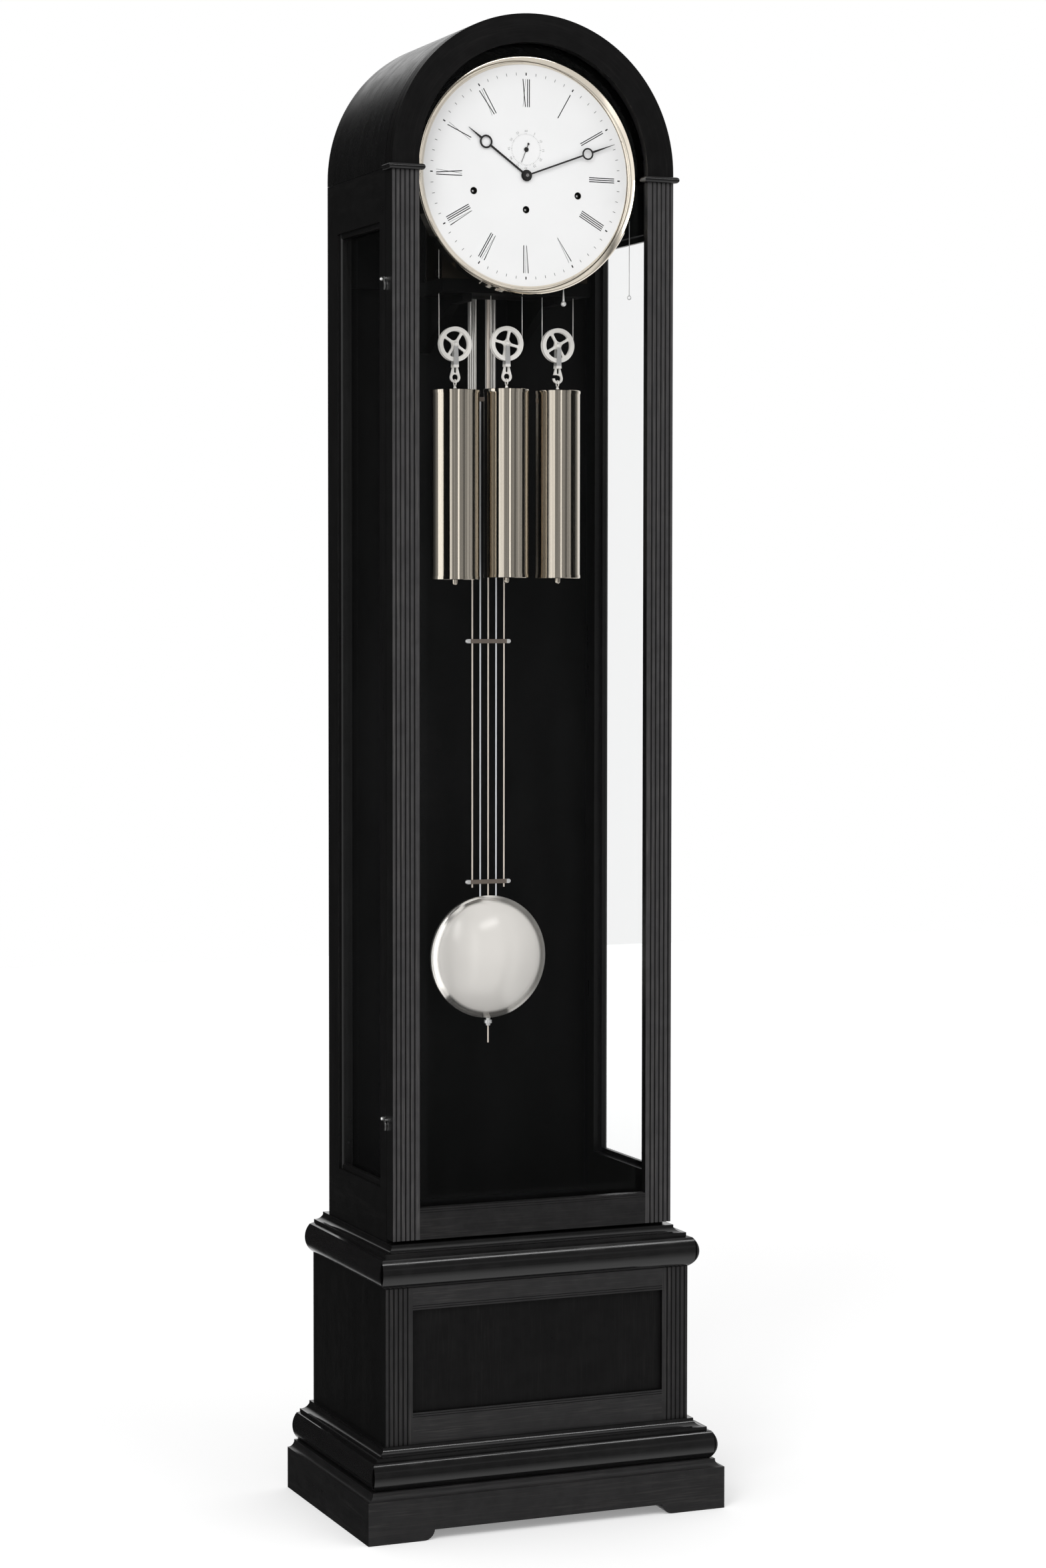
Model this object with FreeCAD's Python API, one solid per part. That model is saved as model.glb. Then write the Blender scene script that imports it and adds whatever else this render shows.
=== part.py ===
import FreeCAD, Part
import math
import os

# Tall arched longcase clock with a glazed front door, three cable-hung weights and a rod pendulum.
# Millimetres. Origin on the floor under the middle of the plinth, +Z up, the dial faces -Y.

# Whole-model allowances
overrun = 2.0
running_clearance = 0.05
rest_clearance = 0.3

# Plinth
plinth_face_height = 56.4
plinth_cove_height = 7.8
plinth_lip_height = 2.2
plinth_cove_reach = 9.6
plinth_board_thickness = 34.0
plinth_back_thickness = 20.0
foot_length = 76.6
foot_cut_height = 13.5
foot_curve_width = 15.8
cove_mid_share = 0.3

# Lower moulding on the plinth, offsets counted outwards from the base's face
base_moulding_neck = 23.0
base_moulding_round = 31.3
base_round_low_height = 19.4
base_round_high_height = 17.7
base_moulding_shoulder = 24.9
base_fillet_rise = 0.8
base_moulding_fillet = 20.2
base_cove_height = 6.7
base_moulding_ledge = 6.3
ledge_height = 3.6
fillet_height = 4.4
moulding_inner_margin = 24.0

# Base box
base_setback = 38.2
base_height = 207.3
base_board_thickness = 18.0
base_front_thickness = 20.0
base_stile_width = 37.7
base_bottom_rail_height = 41.3
base_top_rail_height = 29.8
base_panel_thickness = 9.0
base_panel_recess = 6.0
base_back_thickness = 10.0

# Waist moulding on the base, offsets counted outwards from the trunk's face
waist_foot = 17.8
waist_round = 29.7
waist_round_low_height = 22.2
waist_round_high_height = 17.3
waist_shoulder = 22.5
waist_fillet_rise = 1.7
waist_fillet = 16.2
waist_cove_height = 5.7
waist_ledge = 3.1
waist_side_step = 17.2

# Trunk
trunk_setback = 56.8
trunk_back_inset = 17.6
trunk_height = 1410.1
side_thickness = 20.0
side_front_stile_width = 23.1
side_rear_stile_width = 40.0
side_bottom_rail_height = 68.9
side_top_rail_height = 67.8
back_board_thickness = 10.0
floor_thickness = 12.0
roof_thickness = 12.0
arch_rise = 7.9
roof_seam_gap = 0.4
window_bead_width = 7.0
window_bead_depth = 8.0
window_bead_recess = 3.0
window_bead_round = 3.0
glass_thickness = 4.0
side_glass_lap = 1.5

# Front door
door_thickness = 24.4
door_stile_width = 37.5
door_rail_height = 41.6
door_bottom_gap = 4.1
door_joint_gap = 1.0
glass_recess = 12.4
glass_rebate = 7.5
glass_edge_clearance = 0.2
door_glass_thickness = 4.5
glass_bevel_width = 22.5
glass_bevel_depth = 2.2
arch_line_depth = 1.2
arch_line_width = 1.0
arch_line_setback = 10.0
rail_bead_groove = 0.9
rail_bead_depth = 0.8
rail_bead_margin = 2.6
rail_bead_pitch = 3.0
rail_groove_count = 2

# Fluting of the pilasters
flute_count = 5
flute_edge_margin = 4.7
flute_pitch = 6.45
flute_width = 2.1
flute_depth = 1.7

# Cap mouldings across the pilasters, with their middle at the spring of the arch
cap_height = 8.2
cap_projection = 6.3
cap_round_share = 0.49

# Door hinges
hinge_count = 3
hinge_height = 60.0
hinge_leaf_width = 16.0
hinge_leaf_thickness = 1.3
hinge_leaf_proud = 0.3
hinge_axis_offset = 3.2
hinge_knuckle_radius = 2.6
hinge_pin_radius = 1.2
hinge_end_margin = 140.0
hinge_segment_gap = 0.2

# Side hooks that hold the door shut
hook_lower_rise = 162.5
hook_upper_drop = 143.3
hook_behind_joint = 11.0
keeper_before_joint = 2.4
hook_reach = 17.0
hook_rise = 5.5
hook_bar_width = 2.4
hook_thickness = 1.8
hook_eye_radius = 2.8
hook_pin_radius = 1.4
hook_washer_radius = 2.4
hook_washer_thickness = 0.8
hook_head_radius = 2.7
hook_head_height = 1.6
hook_side_gap = 0.15
hook_hang_degrees = 54.0
keeper_radius = 1.5
keeper_head_radius = 2.4
keeper_head_thickness = 0.9

# Dial and bezel
dial_opening_radius = 146.3
dial_rise = 0.3
dial_lap = 3.7
dial_thickness = 1.5
dial_setback = 31.4
bezel_width = 10.9
bezel_side_gap = 6.15
bezel_depth = 19.0
bezel_front_rise = 8.6
bezel_nose_width = 2.6
bezel_nose_round = 1.6
bezel_wall = 1.6
winding_hole_radius = 4.7
seconds_rise = 34.4
seconds_hole_radius = 1.6
dial_foot_radius = 3.0
dial_foot_x = 60.0
dial_foot_z = 75.0

# Hands, with the clock stopped at about twelve minutes past ten
shown_minutes = 11.6
shown_seconds = 33.7
minutes_per_turn = 60.0
hours_per_turn = 12.0
shown_hour = 10.0
hand_thickness = 0.6
hour_hand_length = 101.9
hour_ring_place = 71.5
hour_ring_radius = 8.9
hour_ring_hole = 6.5
hour_arm_width = 2.7
hour_boss_radius = 7.6
minute_hand_margin = 11.2
minute_ring_place = 93.5
minute_ring_radius = 8.0
minute_ring_hole = 5.9
minute_arm_width = 2.2
minute_boss_radius = 6.0
hand_tip_width = 0.5
hand_neck_width = 3.0
hand_nut_radius = 3.0
hand_nut_height = 1.8
hour_hand_clearance = 1.9
minute_hand_clearance = 3.9
seconds_hand_clearance = 0.8
hour_pipe_radius = 3.4
cannon_radius = 2.0
dial_pipe_clearance = 0.3
seconds_hand_length = 18.7
seconds_tail_length = 8.1
seconds_boss_radius = 3.2
seconds_bob_radius = 1.5
seconds_arm_width = 0.8
seconds_arbor_radius = 0.8

# Movement
plate_thickness = 3.0
plate_top_margin = 28.0
plate_gap = 56.0
plate_side_margin = 7.45
dial_foot_length = 35.5
pillar_radius = 5.0
pillar_side_inset = 17.0
pillar_end_inset = 12.0
seat_top_drop = 135.6
seat_board_thickness = 18.0
seat_front_lip = 1.0
seat_pendulum_gap = 9.8
cable_hole_radius = 4.0
bracket_inner = 60.0
bracket_thickness = 13.0
bracket_front_height = 11.0
bracket_back_height = 70.0
bracket_front_inset = 8.0
bracket_level_length = 45.0
upper_board_lap = 2.0
upper_board_thickness = 12.0
upper_board_rod_gap = 25.7
pallet_rise = 56.4
pallet_arbor_radius = 1.5
pallet_half_width = 14.0
pallet_height = 7.0
pallet_thickness = 3.0
pallet_behind_plate = 12.0

# Cable drums, pulleys and weights
weight_gap = 11.3
side_drum_drop = 23.2
middle_drum_drop = 44.9
drum_end_gap = 4.5
drum_flange_rise = 4.4
drum_flange_thickness = 1.5
drum_arbor_radius = 3.0
drum_pivot_radius = 2.0
drum_square_width = 3.6
drum_square_gap = 2.0
cable_radius = 0.6
groove_radius = 22.1
pulley_groove_depth = 1.2
pulley_rim_thickness = 4.1
pulley_window_margin = 0.6
pulley_rim_width = 7.0
pulley_groove_width = 3.6
pulley_web_thickness = 3.0
pulley_spoke_width = 3.4
pulley_hub_radius = 4.4
pulley_hub_fillet = 6.5
pulley_corner_fillet = 2.0
pulley_line_inset = 1.5
pulley_line_width = 0.8
pulley_line_depth = 0.5
axle_radius = 1.5
axle_head_radius = 3.0
axle_head_height = 1.5
left_pulley_drop = 66.5
middle_pulley_drop = 63.5
right_pulley_drop = 64.0
left_spoke_degrees = 57.0
middle_spoke_degrees = 77.0
right_spoke_degrees = 30.0
left_weight_radius = 33.0
middle_weight_radius = 30.5
right_weight_radius = 30.7
weight_length = 254.0
weight_eye_gap = 16.9
cap_disc_height = 4.5
cap_disc_proud = 0.6
cap_disc_round = 0.5
stirrup_width = 5.0
stirrup_foot_width = 7.4
stirrup_thickness = 1.5
stirrup_side_gap = 0.4
stirrup_head = 3.4
stirrup_bar_radius = 1.35
stirrup_bar_gap = 6.3
link_thickness = 2.4
link_head_radius = 3.4
link_length = 14.9
link_eye_radius = 4.2
link_eye_outer_radius = 7.3
link_slot_width = 3.1
link_slot_length = 10.5
link_slot_top_clearance = 0.2
open_hook_gap = 4.6
weight_ring_radius = 4.2
weight_ring_wire = 0.9
weight_ring_rest = 0.3
finial_radius = 3.2
finial_neck_radius = 1.3
weight_nut_radius = 3.7
weight_nut_height = 3.9

# Pendulum
pendulum_behind_plate = 34.8
pivot_drop = 41.6
leader_radius = 2.4
leader_top_drop = 36.0
pendulum_rod_radius = 1.15
pendulum_rod_pitch = 11.7
pendulum_rod_side_count = 2
leader_length = 246.7
crossbar_bob_gap = 19.2
crossbar_half_width = 31.0
crossbar_height = 5.6
crossbar_thickness = 5.0
crossbar_ball_radius = 2.6
outer_rod_end = 5.0
bob_over_floor = 345.6
bob_radius = 84.4
bob_thickness = 22.0
bob_rim_thickness = 5.0
bob_rim_width = 3.0
bob_rod_depth = 8.0
rating_nut_radius = 5.2
rating_nut_height = 4.4
rating_collar_radius = 3.0
rating_collar_height = 3.2
rating_gap = 3.2
pendulum_tip_length = 34.4
spring_thickness = 0.4
spring_width = 8.0
spring_pin_radius = 1.5
spring_block_width = 10.0
spring_block_height = 8.0
spring_block_thickness = 5.0
cock_width = 16.0
cock_height = 14.0
cock_ear_thickness = 2.5
cock_slot_width = 10.0
crutch_slot_half_width = 4.0
crutch_slot_gap = 3.0
crutch_rod_radius = 1.2
crutch_behind_plate = 16.0
crutch_hub_radius = 4.0
crutch_hub_width = 5.0
crutch_fork_gap = 0.4
crutch_fork_width = 2.0
crutch_fork_height = 6.0
crutch_fork_drop = 45.0

# Chime rods and hammers
chime_block_drop = 60.0
chime_block_height = 32.0
chime_block_half_width = 16.5
chime_block_behind = 4.0
chime_rod_radius = 1.7
chime_rods_per_row = 4
left_row_x = -13.0
left_row_behind = 15.2
left_row_pitch = 8.0
right_row_x = 13.5
right_row_behind = 11.2
right_row_pitch = 10.0
chime_rod_length = 210.0
chime_rod_step = 24.0
hammer_arbor_offset = 20.0
hammer_arbor_rise = 12.0
hammer_arbor_radius = 1.5
hammer_head_radius = 2.6
hammer_head_length = 9.0
hammer_head_drop = 24.0
hammer_rest_gap = 2.0
hammer_arm_thickness = 1.6
hammer_arm_width = 2.4
hammer_ear_thickness = 3.0
hammer_ear_width = 9.0
hammer_ear_gap = 1.0

# Pull wires
pull_wire_radius = 0.5
ball_pull_inset = 12.6
ball_pull_behind = 17.05
ball_pull_rise = 12.0
ball_radius = 3.6
ball_drop = 12.1
ball_sleeve_radius = 1.9
ball_sleeve_length = 20.0
loop_pull_inset = 5.65
loop_pull_setback = 47.4
loop_pull_rise = 14.0
loop_drop = 154.3
loop_radius = 2.5
pull_stop_radius = 1.8
pull_stop_height = 2.5
guide_lap = 21.0
guide_drop = 41.6
ball_guide_rise = 8.0
guide_thickness = 2.0
guide_width = 8.0

# Widths worked out from the dial outwards
bezel_radius = dial_opening_radius + bezel_width
dial_radius = dial_opening_radius + dial_lap
opening_half = bezel_radius + bezel_side_gap
trunk_half = opening_half + door_stile_width
inner_half = trunk_half - side_thickness
base_half = trunk_half + waist_side_step
plinth_half = base_half + base_setback
minute_hand_length = dial_opening_radius - minute_hand_margin
cable_path_radius = groove_radius + cable_radius + running_clearance
train_spacing = left_weight_radius + middle_weight_radius + weight_gap
plate_half_width = train_spacing + cable_path_radius + plate_side_margin
ball_pull_x = train_spacing - ball_pull_inset
loop_pull_x = opening_half - loop_pull_inset
hinge_axis_x = trunk_half + hinge_axis_offset

# Depths worked out from the trunk's front face backwards
front_plate_setback = dial_setback + dial_thickness + dial_foot_length
back_plate_setback = front_plate_setback + plate_thickness + plate_gap
pendulum_setback = back_plate_setback + plate_thickness + pendulum_behind_plate
last_rod_setback = pendulum_setback + right_row_behind + (chime_rods_per_row - 1) * right_row_pitch
upper_board_setback = last_rod_setback + upper_board_rod_gap
trunk_depth = upper_board_setback + upper_board_thickness + back_board_thickness
plinth_depth = trunk_setback + trunk_depth + trunk_back_inset

# Places from front to back
plinth_front = -plinth_depth / 2
plinth_rear = plinth_depth / 2
base_front = plinth_front + base_setback
trunk_front = plinth_front + trunk_setback
trunk_rear = trunk_front + trunk_depth
back_board_front = trunk_rear - back_board_thickness
upper_board_front = back_board_front - upper_board_thickness
door_rear = trunk_front + door_thickness
carcass_front = door_rear + door_joint_gap
side_window_front = carcass_front + side_front_stile_width
side_window_rear = trunk_rear - side_rear_stile_width
glass_front = trunk_front + glass_recess
glass_rear = glass_front + door_glass_thickness
hinge_axis_y = (door_rear + carcass_front) / 2
hook_y = door_rear + hook_behind_joint
keeper_y = door_rear - keeper_before_joint
dial_front = trunk_front + dial_setback
dial_rear = dial_front + dial_thickness
front_plate_front = trunk_front + front_plate_setback
front_plate_rear = front_plate_front + plate_thickness
back_plate_front = trunk_front + back_plate_setback
back_plate_rear = back_plate_front + plate_thickness
weight_y = (front_plate_rear + back_plate_front) / 2
pendulum_y = trunk_front + pendulum_setback
seat_front = front_plate_front - seat_front_lip
seat_rear = pendulum_y - seat_pendulum_gap
ball_pull_y = dial_rear + ball_pull_behind
loop_pull_y = trunk_front + loop_pull_setback

# Places from the floor up
plinth_top = plinth_face_height + plinth_cove_height + plinth_lip_height
base_shoulder_z = plinth_top + base_round_low_height + base_round_high_height
base_fillet_z = base_shoulder_z + base_fillet_rise
base_bottom = base_fillet_z + fillet_height + base_cove_height + ledge_height
base_top = base_bottom + base_height
waist_shoulder_z = base_top + waist_round_low_height + waist_round_high_height
waist_fillet_z = waist_shoulder_z + waist_fillet_rise
trunk_bottom = waist_fillet_z + fillet_height + waist_cove_height + ledge_height
trunk_top = trunk_bottom + trunk_height
spring_height = trunk_top
arch_height = spring_height + arch_rise
door_bottom = trunk_bottom + door_bottom_gap
floor_top = trunk_bottom + floor_thickness
side_window_bottom = trunk_bottom + side_bottom_rail_height
side_window_top = trunk_top - side_top_rail_height
rail_top = door_bottom + door_rail_height
hook_lower_height = trunk_bottom + hook_lower_rise
hook_upper_height = trunk_top - hook_upper_drop
dial_height = spring_height + dial_rise
seconds_height = dial_height + seconds_rise
pallet_height_z = dial_height + pallet_rise
seat_top = dial_height - seat_top_drop
seat_board_height = seat_top - seat_board_thickness
upper_board_bottom = seat_top - upper_board_lap
guide_height = dial_height - guide_drop
loop_height = dial_height - loop_drop
loop_pull_top = guide_height + loop_pull_rise
ball_height = seat_board_height - ball_drop
ball_guide_height = seat_top + ball_guide_rise
ball_pull_top = ball_guide_height + guide_thickness + ball_pull_rise
pivot_height = dial_height - pivot_drop
bob_height = floor_top + bob_over_floor
top_crossbar_z = pivot_height - leader_length
low_crossbar_z = bob_height + bob_radius + crossbar_bob_gap
crossbar_heights = (top_crossbar_z, (top_crossbar_z + low_crossbar_z) / 2, low_crossbar_z)
chime_block_bottom = pivot_height - chime_block_drop

# Turned sizes of the pulleys and the hanging parts
pulley_rim_radius = groove_radius + pulley_groove_depth
pulley_rim_inner_radius = groove_radius - pulley_rim_thickness
pulley_window_radius = pulley_rim_inner_radius - pulley_window_margin
pulley_line_radius = groove_radius - pulley_line_inset
pulley_half_width = pulley_rim_width / 2
drum_flange_radius = groove_radius + drum_flange_rise
stirrup_inner = pulley_half_width + stirrup_side_gap
stirrup_outer = stirrup_inner + stirrup_thickness
stirrup_bar_drop = pulley_rim_radius + stirrup_bar_gap
link_eye_drop = stirrup_bar_drop + link_length
weight_drop = link_eye_drop + weight_eye_gap

minute_turn_degrees = 360.0 * shown_minutes / minutes_per_turn
hour_turn_degrees = 360.0 * (shown_hour + shown_minutes / minutes_per_turn) / hours_per_turn
seconds_turn_degrees = 360.0 * shown_seconds / minutes_per_turn

# Each train's name, place across, drum's drop, pulley's height, weight's radius, winding side and spoke angle
trains = (
    ("left", -train_spacing, side_drum_drop, seat_board_height - left_pulley_drop, left_weight_radius, -1.0,
     left_spoke_degrees),
    ("middle", 0.0, middle_drum_drop, seat_board_height - middle_pulley_drop, middle_weight_radius, 1.0,
     middle_spoke_degrees),
    ("right", train_spacing, side_drum_drop, seat_board_height - right_pulley_drop, right_weight_radius, 1.0,
     right_spoke_degrees),
)

along_x = FreeCAD.Vector(1, 0, 0)
along_y = FreeCAD.Vector(0, 1, 0)
along_z = FreeCAD.Vector(0, 0, 1)


def point(x, y, z):
    return FreeCAD.Vector(x, y, z)


def block(x_range, y_range, z_range):
    """Upright box between two values on each axis."""
    low = point(min(x_range), min(y_range), min(z_range))
    size = point(max(x_range), max(y_range), max(z_range)) - low
    return Part.makeBox(size.x, size.y, size.z, low)


def round_bar(start, end, radius):
    """Cylinder from one point to another."""
    run = end - start
    return Part.makeCylinder(radius, run.Length, start, run)


def bar_back(x, z, front, rear, radius):
    """Cylinder running straight back between two depths."""
    return round_bar(point(x, front, z), point(x, rear, z), radius)


def bar_up(x, y, low, high, radius):
    """Upright cylinder between two heights."""
    return round_bar(point(x, y, low), point(x, y, high), radius)


def taper(start, end, start_radius, end_radius):
    run = end - start
    return Part.makeCone(start_radius, end_radius, run.Length, start, run)


def outline(points):
    """Closed face through points; a point given as a pair of vectors is an arc's middle and end."""
    edges = []
    here = points[0]
    for step in points[1:]:
        if isinstance(step, tuple):
            edges.append(Part.Arc(here, step[0], step[1]).toShape())
            here = step[1]
        else:
            edges.append(Part.LineSegment(here, step).toShape())
            here = step
    if (here - points[0]).Length > 0:
        edges.append(Part.LineSegment(here, points[0]).toShape())
    return Part.Face(Part.Wire(edges))


def turned_y(profile, x, z):
    """Ring or disc turned about a front-to-back axis; profile points are (radius, y)."""
    points = [point(x + radius, y, z) for radius, y in profile]
    return outline(points).revolve(point(x, 0, z), along_y, 360)


def turned_z(profile, x, y):
    """Piece turned about an upright axis; profile points are (radius, z)."""
    points = [point(x + radius, y, z) for radius, z in profile]
    return outline(points).revolve(point(x, y, 0), along_z, 360)


def save(name, solids):
    """Write the solids of one sub-part to its own file."""
    pieces = solids if isinstance(solids, list) else [solids]
    found = []
    for piece in pieces:
        for solid in piece.Solids:
            found.append(solid)
    for solid in found:
        if not solid.isValid() or solid.Volume <= 0:
            raise ValueError(name + " has a faulty solid")
    shape = found[0] if len(found) == 1 else Part.makeCompound(found)
    shape.exportStep("parts/" + name + ".step")
    print(name, len(found), round(shape.Volume / 1000.0, 2))


def mirrored(shape):
    """Copy of a shape on the other side of the middle plane."""
    return shape.mirror(point(0, 0, 0), along_x)


# Case base

def surround_lengths(section, half_width, front, inner):
    """Front, left and right lengths of a mitred surround; section is a list in (offset, z)."""
    reach = max((step[1] if isinstance(step[0], tuple) else step)[0] for step in section)
    low = min((step[1] if isinstance(step[0], tuple) else step)[1] for step in section)
    high = max((step[1] if isinstance(step[0], tuple) else step)[1] for step in section)
    wide = half_width + reach + overrun

    def side_point(pair):
        return point(-half_width - pair[0], front - wide, pair[1])

    def front_point(pair):
        return point(-wide, front - pair[0], pair[1])

    def placed(place):
        return [(place(s[0]), place(s[1])) if isinstance(s[0], tuple) else place(s) for s in section]

    front_run = outline(placed(front_point)).extrude(point(2 * wide, 0, 0))
    side_run = outline(placed(side_point)).extrude(point(0, plinth_rear - front + wide, 0))
    outer = half_width + wide
    spread = outer - half_width
    depth = point(0, 0, high - low)
    wedge = outline([
        point(-half_width - spread, front - spread, low),
        point(half_width + spread, front - spread, low),
        point(half_width - inner, front + inner, low),
        point(-half_width + inner, front + inner, low),
    ]).extrude(depth)
    return [front_run.common(wedge), side_run.cut(wedge), mirrored(side_run.cut(wedge))]


def plinth_section():
    """Section of the plinth boards: flat face, cove and lip."""
    face = base_setback
    top = face - plinth_cove_reach
    cove_top = plinth_face_height + plinth_cove_height
    mid = (top + plinth_cove_reach * cove_mid_share, plinth_face_height + plinth_cove_height * cove_mid_share)
    return [
        (face - plinth_board_thickness, 0),
        (face, 0),
        (face, plinth_face_height),
        (mid, (top, cove_top)),
        (top, plinth_top),
        (face - plinth_board_thickness, plinth_top),
    ]


def make_plinth():
    inner = plinth_board_thickness - base_setback
    front, left, right = surround_lengths(plinth_section(), base_half, base_front, inner)
    foot_end = plinth_half - foot_length
    curve_end = foot_end - foot_curve_width
    bulge_x = foot_end - foot_curve_width * (1 - cove_mid_share)
    bulge_z = foot_cut_height * cove_mid_share
    y = plinth_front - overrun
    cut = outline([
        point(-foot_end, y, 0),
        (point(-bulge_x, y, bulge_z), point(-curve_end, y, foot_cut_height)),
        point(curve_end, y, foot_cut_height),
        (point(bulge_x, y, bulge_z), point(foot_end, y, 0)),
    ]).extrude(point(0, plinth_board_thickness + 2 * overrun, 0))
    save("plinth_front", front.cut(cut))
    rear_y = plinth_rear - plinth_back_thickness
    inside = base_half - inner
    back = block((-inside, inside), (rear_y, plinth_rear), (0, plinth_top))
    save("plinth_returns", [left, right, back])


def moulding_section(foot, swell, swell_z, shoulder, shoulder_z, fillet, fillet_z, ledge, bottom, top, inner):
    """Round, fillet and cove from bottom to top, as (offset, z) pairs."""
    cove_bottom = fillet_z + fillet_height
    cove_top = top - ledge_height
    mid_offset = ledge + (fillet - ledge) * cove_mid_share
    mid_z = cove_bottom + (cove_top - cove_bottom) * cove_mid_share
    return [
        (-inner, bottom),
        (foot, bottom),
        ((swell, swell_z), (shoulder, shoulder_z)),
        (fillet, fillet_z),
        (fillet, cove_bottom),
        ((mid_offset, mid_z), (ledge, cove_top)),
        (ledge, top),
        (-inner, top),
    ]


def surround(name, section, half_width, front, inner, bottom, top):
    lengths = surround_lengths(section, half_width, front, inner)
    inside = half_width - inner
    back = block((-inside, inside), (plinth_rear - inner, plinth_rear), (bottom, top))
    save(name, lengths + [back])


def make_mouldings():
    section = moulding_section(
        base_moulding_neck, base_moulding_round, plinth_top + base_round_low_height,
        base_moulding_shoulder, base_shoulder_z, base_moulding_fillet, base_fillet_z,
        base_moulding_ledge, plinth_top, base_bottom, moulding_inner_margin)
    surround("base_moulding", section, base_half, base_front, moulding_inner_margin, plinth_top, base_bottom)
    inner = side_thickness + moulding_inner_margin
    section = moulding_section(
        waist_foot, waist_round, base_top + waist_round_low_height,
        waist_shoulder, waist_shoulder_z, waist_fillet, waist_fillet_z,
        waist_ledge, base_top, trunk_bottom, inner)
    surround("waist_moulding", section, trunk_half, trunk_front, inner, base_top, trunk_bottom)


def flute_steps(outer_x, face_y, sign):
    """Points of the flutes across a pilaster's face, from its outer edge inwards."""
    steps = []
    half = flute_width / 2
    for index in range(flute_count):
        middle = outer_x + sign * (flute_edge_margin + index * flute_pitch)
        straight = face_y + flute_depth - half
        steps.append(point(middle - sign * half, face_y, 0))
        steps.append(point(middle - sign * half, straight, 0))
        steps.append((point(middle, face_y + flute_depth, 0), point(middle + sign * half, straight, 0)))
        steps.append(point(middle + sign * half, face_y, 0))
    return steps


def base_stile():
    """Left fluted stile of the base."""
    outer = -base_half
    inner = outer + base_stile_width
    rear = base_front + base_front_thickness
    corners = [point(outer, rear, 0), point(outer, base_front, 0)]
    corners += flute_steps(outer, base_front, 1)
    corners += [point(inner, base_front, 0), point(inner, rear, 0)]
    stile = outline(corners).extrude(point(0, 0, base_height))
    stile.translate(point(0, 0, base_bottom))
    return stile


def bead_grooves(edge, sign, half, face_y):
    """Fine grooves that leave a bead along a rail's edge."""
    grooves = []
    for index in range(rail_groove_count):
        middle = edge + sign * (rail_bead_margin + index * rail_bead_pitch)
        low = middle - rail_bead_groove / 2
        high = middle + rail_bead_groove / 2
        grooves.append(block((-half, half), (face_y - overrun, face_y + rail_bead_depth), (low, high)))
    return Part.makeCompound(grooves)


def make_base():
    stile = base_stile()
    rail_half = base_half - base_stile_width
    rear = base_front + base_front_thickness
    low_top = base_bottom + base_bottom_rail_height
    high_bottom = base_top - base_top_rail_height
    low_rail = block((-rail_half, rail_half), (base_front, rear), (base_bottom, low_top))
    low_rail = low_rail.cut(bead_grooves(low_top, -1, rail_half, base_front))
    high_rail = block((-rail_half, rail_half), (base_front, rear), (high_bottom, base_top))
    high_rail = high_rail.cut(bead_grooves(high_bottom, 1, rail_half, base_front))
    save("base_frame", [stile, mirrored(stile), low_rail, high_rail])
    panel_y = base_front + base_panel_recess
    panel = block((-rail_half, rail_half), (panel_y, panel_y + base_panel_thickness), (low_top, high_bottom))
    save("base_panel", panel)
    back_y = plinth_rear - base_back_thickness
    inside = base_half - base_board_thickness
    side = block((-base_half, -inside), (rear, plinth_rear), (base_bottom, base_top))
    save("base_sides", [side, mirrored(side)])
    save("base_back", block((-inside, inside), (back_y, plinth_rear), (base_bottom, base_top)))


# Trunk carcass

def side_frame():
    """Left side: two stiles and two rails around the window."""
    x_range = (-trunk_half, -inner_half)
    frame = [
        block(x_range, (carcass_front, side_window_front), (trunk_bottom, trunk_top)),
        block(x_range, (side_window_rear, trunk_rear), (trunk_bottom, trunk_top)),
        block(x_range, (side_window_front, side_window_rear), (trunk_bottom, side_window_bottom)),
        block(x_range, (side_window_front, side_window_rear), (side_window_top, trunk_top)),
    ]
    return frame


def window_beads():
    """Left window's lining beads: two upright and two level lengths, rounded on their outer corner."""
    out_x = -trunk_half + window_bead_recess
    in_x = out_x + window_bead_depth
    width = window_bead_width
    low = side_window_bottom + width
    high = side_window_top - width
    x_range = (out_x, in_x)
    z_range = (side_window_bottom, side_window_top)
    front = block(x_range, (side_window_front, side_window_front + width), z_range)
    rear = block(x_range, (side_window_rear - width, side_window_rear), z_range)
    inner_y = (side_window_front + width, side_window_rear - width)
    bottom = block(x_range, inner_y, (side_window_bottom, low))
    top = block(x_range, inner_y, (high, side_window_top))
    inner_places = (
        (front, inner_y[0], None),
        (rear, inner_y[1], None),
        (bottom, None, low),
        (top, None, high),
    )
    shaped = []
    for bead, y, z in inner_places:
        edges = []
        for edge in bead.Edges:
            centre = edge.CenterOfMass
            on_face = abs(centre.x - out_x) < running_clearance
            by_y = y is not None and abs(centre.y - y) < running_clearance and edge.Length > width + overrun
            by_z = z is not None and abs(centre.z - z) < running_clearance and edge.Length > width + overrun
            if on_face and (by_y or by_z):
                edges.append(edge)
        shaped.append(bead.makeFillet(window_bead_round, edges))
    return shaped


def make_trunk():
    save("side_frame_left", side_frame())
    save("side_frame_right", side_frame_with_beds())
    beads = window_beads()
    save("window_beads", beads + [mirrored(bead) for bead in beads])
    glass_x = -trunk_half + window_bead_recess + window_bead_depth
    pane = block(
        (glass_x, glass_x + glass_thickness),
        (side_window_front + side_glass_lap, side_window_rear - side_glass_lap),
        (side_window_bottom + side_glass_lap, side_window_top - side_glass_lap))
    save("side_glasses", [pane, mirrored(pane)])
    floor = block((-inner_half, inner_half), (carcass_front, back_board_front), (trunk_bottom, floor_top))
    save("trunk_floor", floor)
    upper = block((-inner_half, inner_half), (upper_board_front, back_board_front),
                  (upper_board_bottom, trunk_top))
    save("back_boards", [back_board(), upper])
    save("roof_shell", roof_shell())


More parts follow.
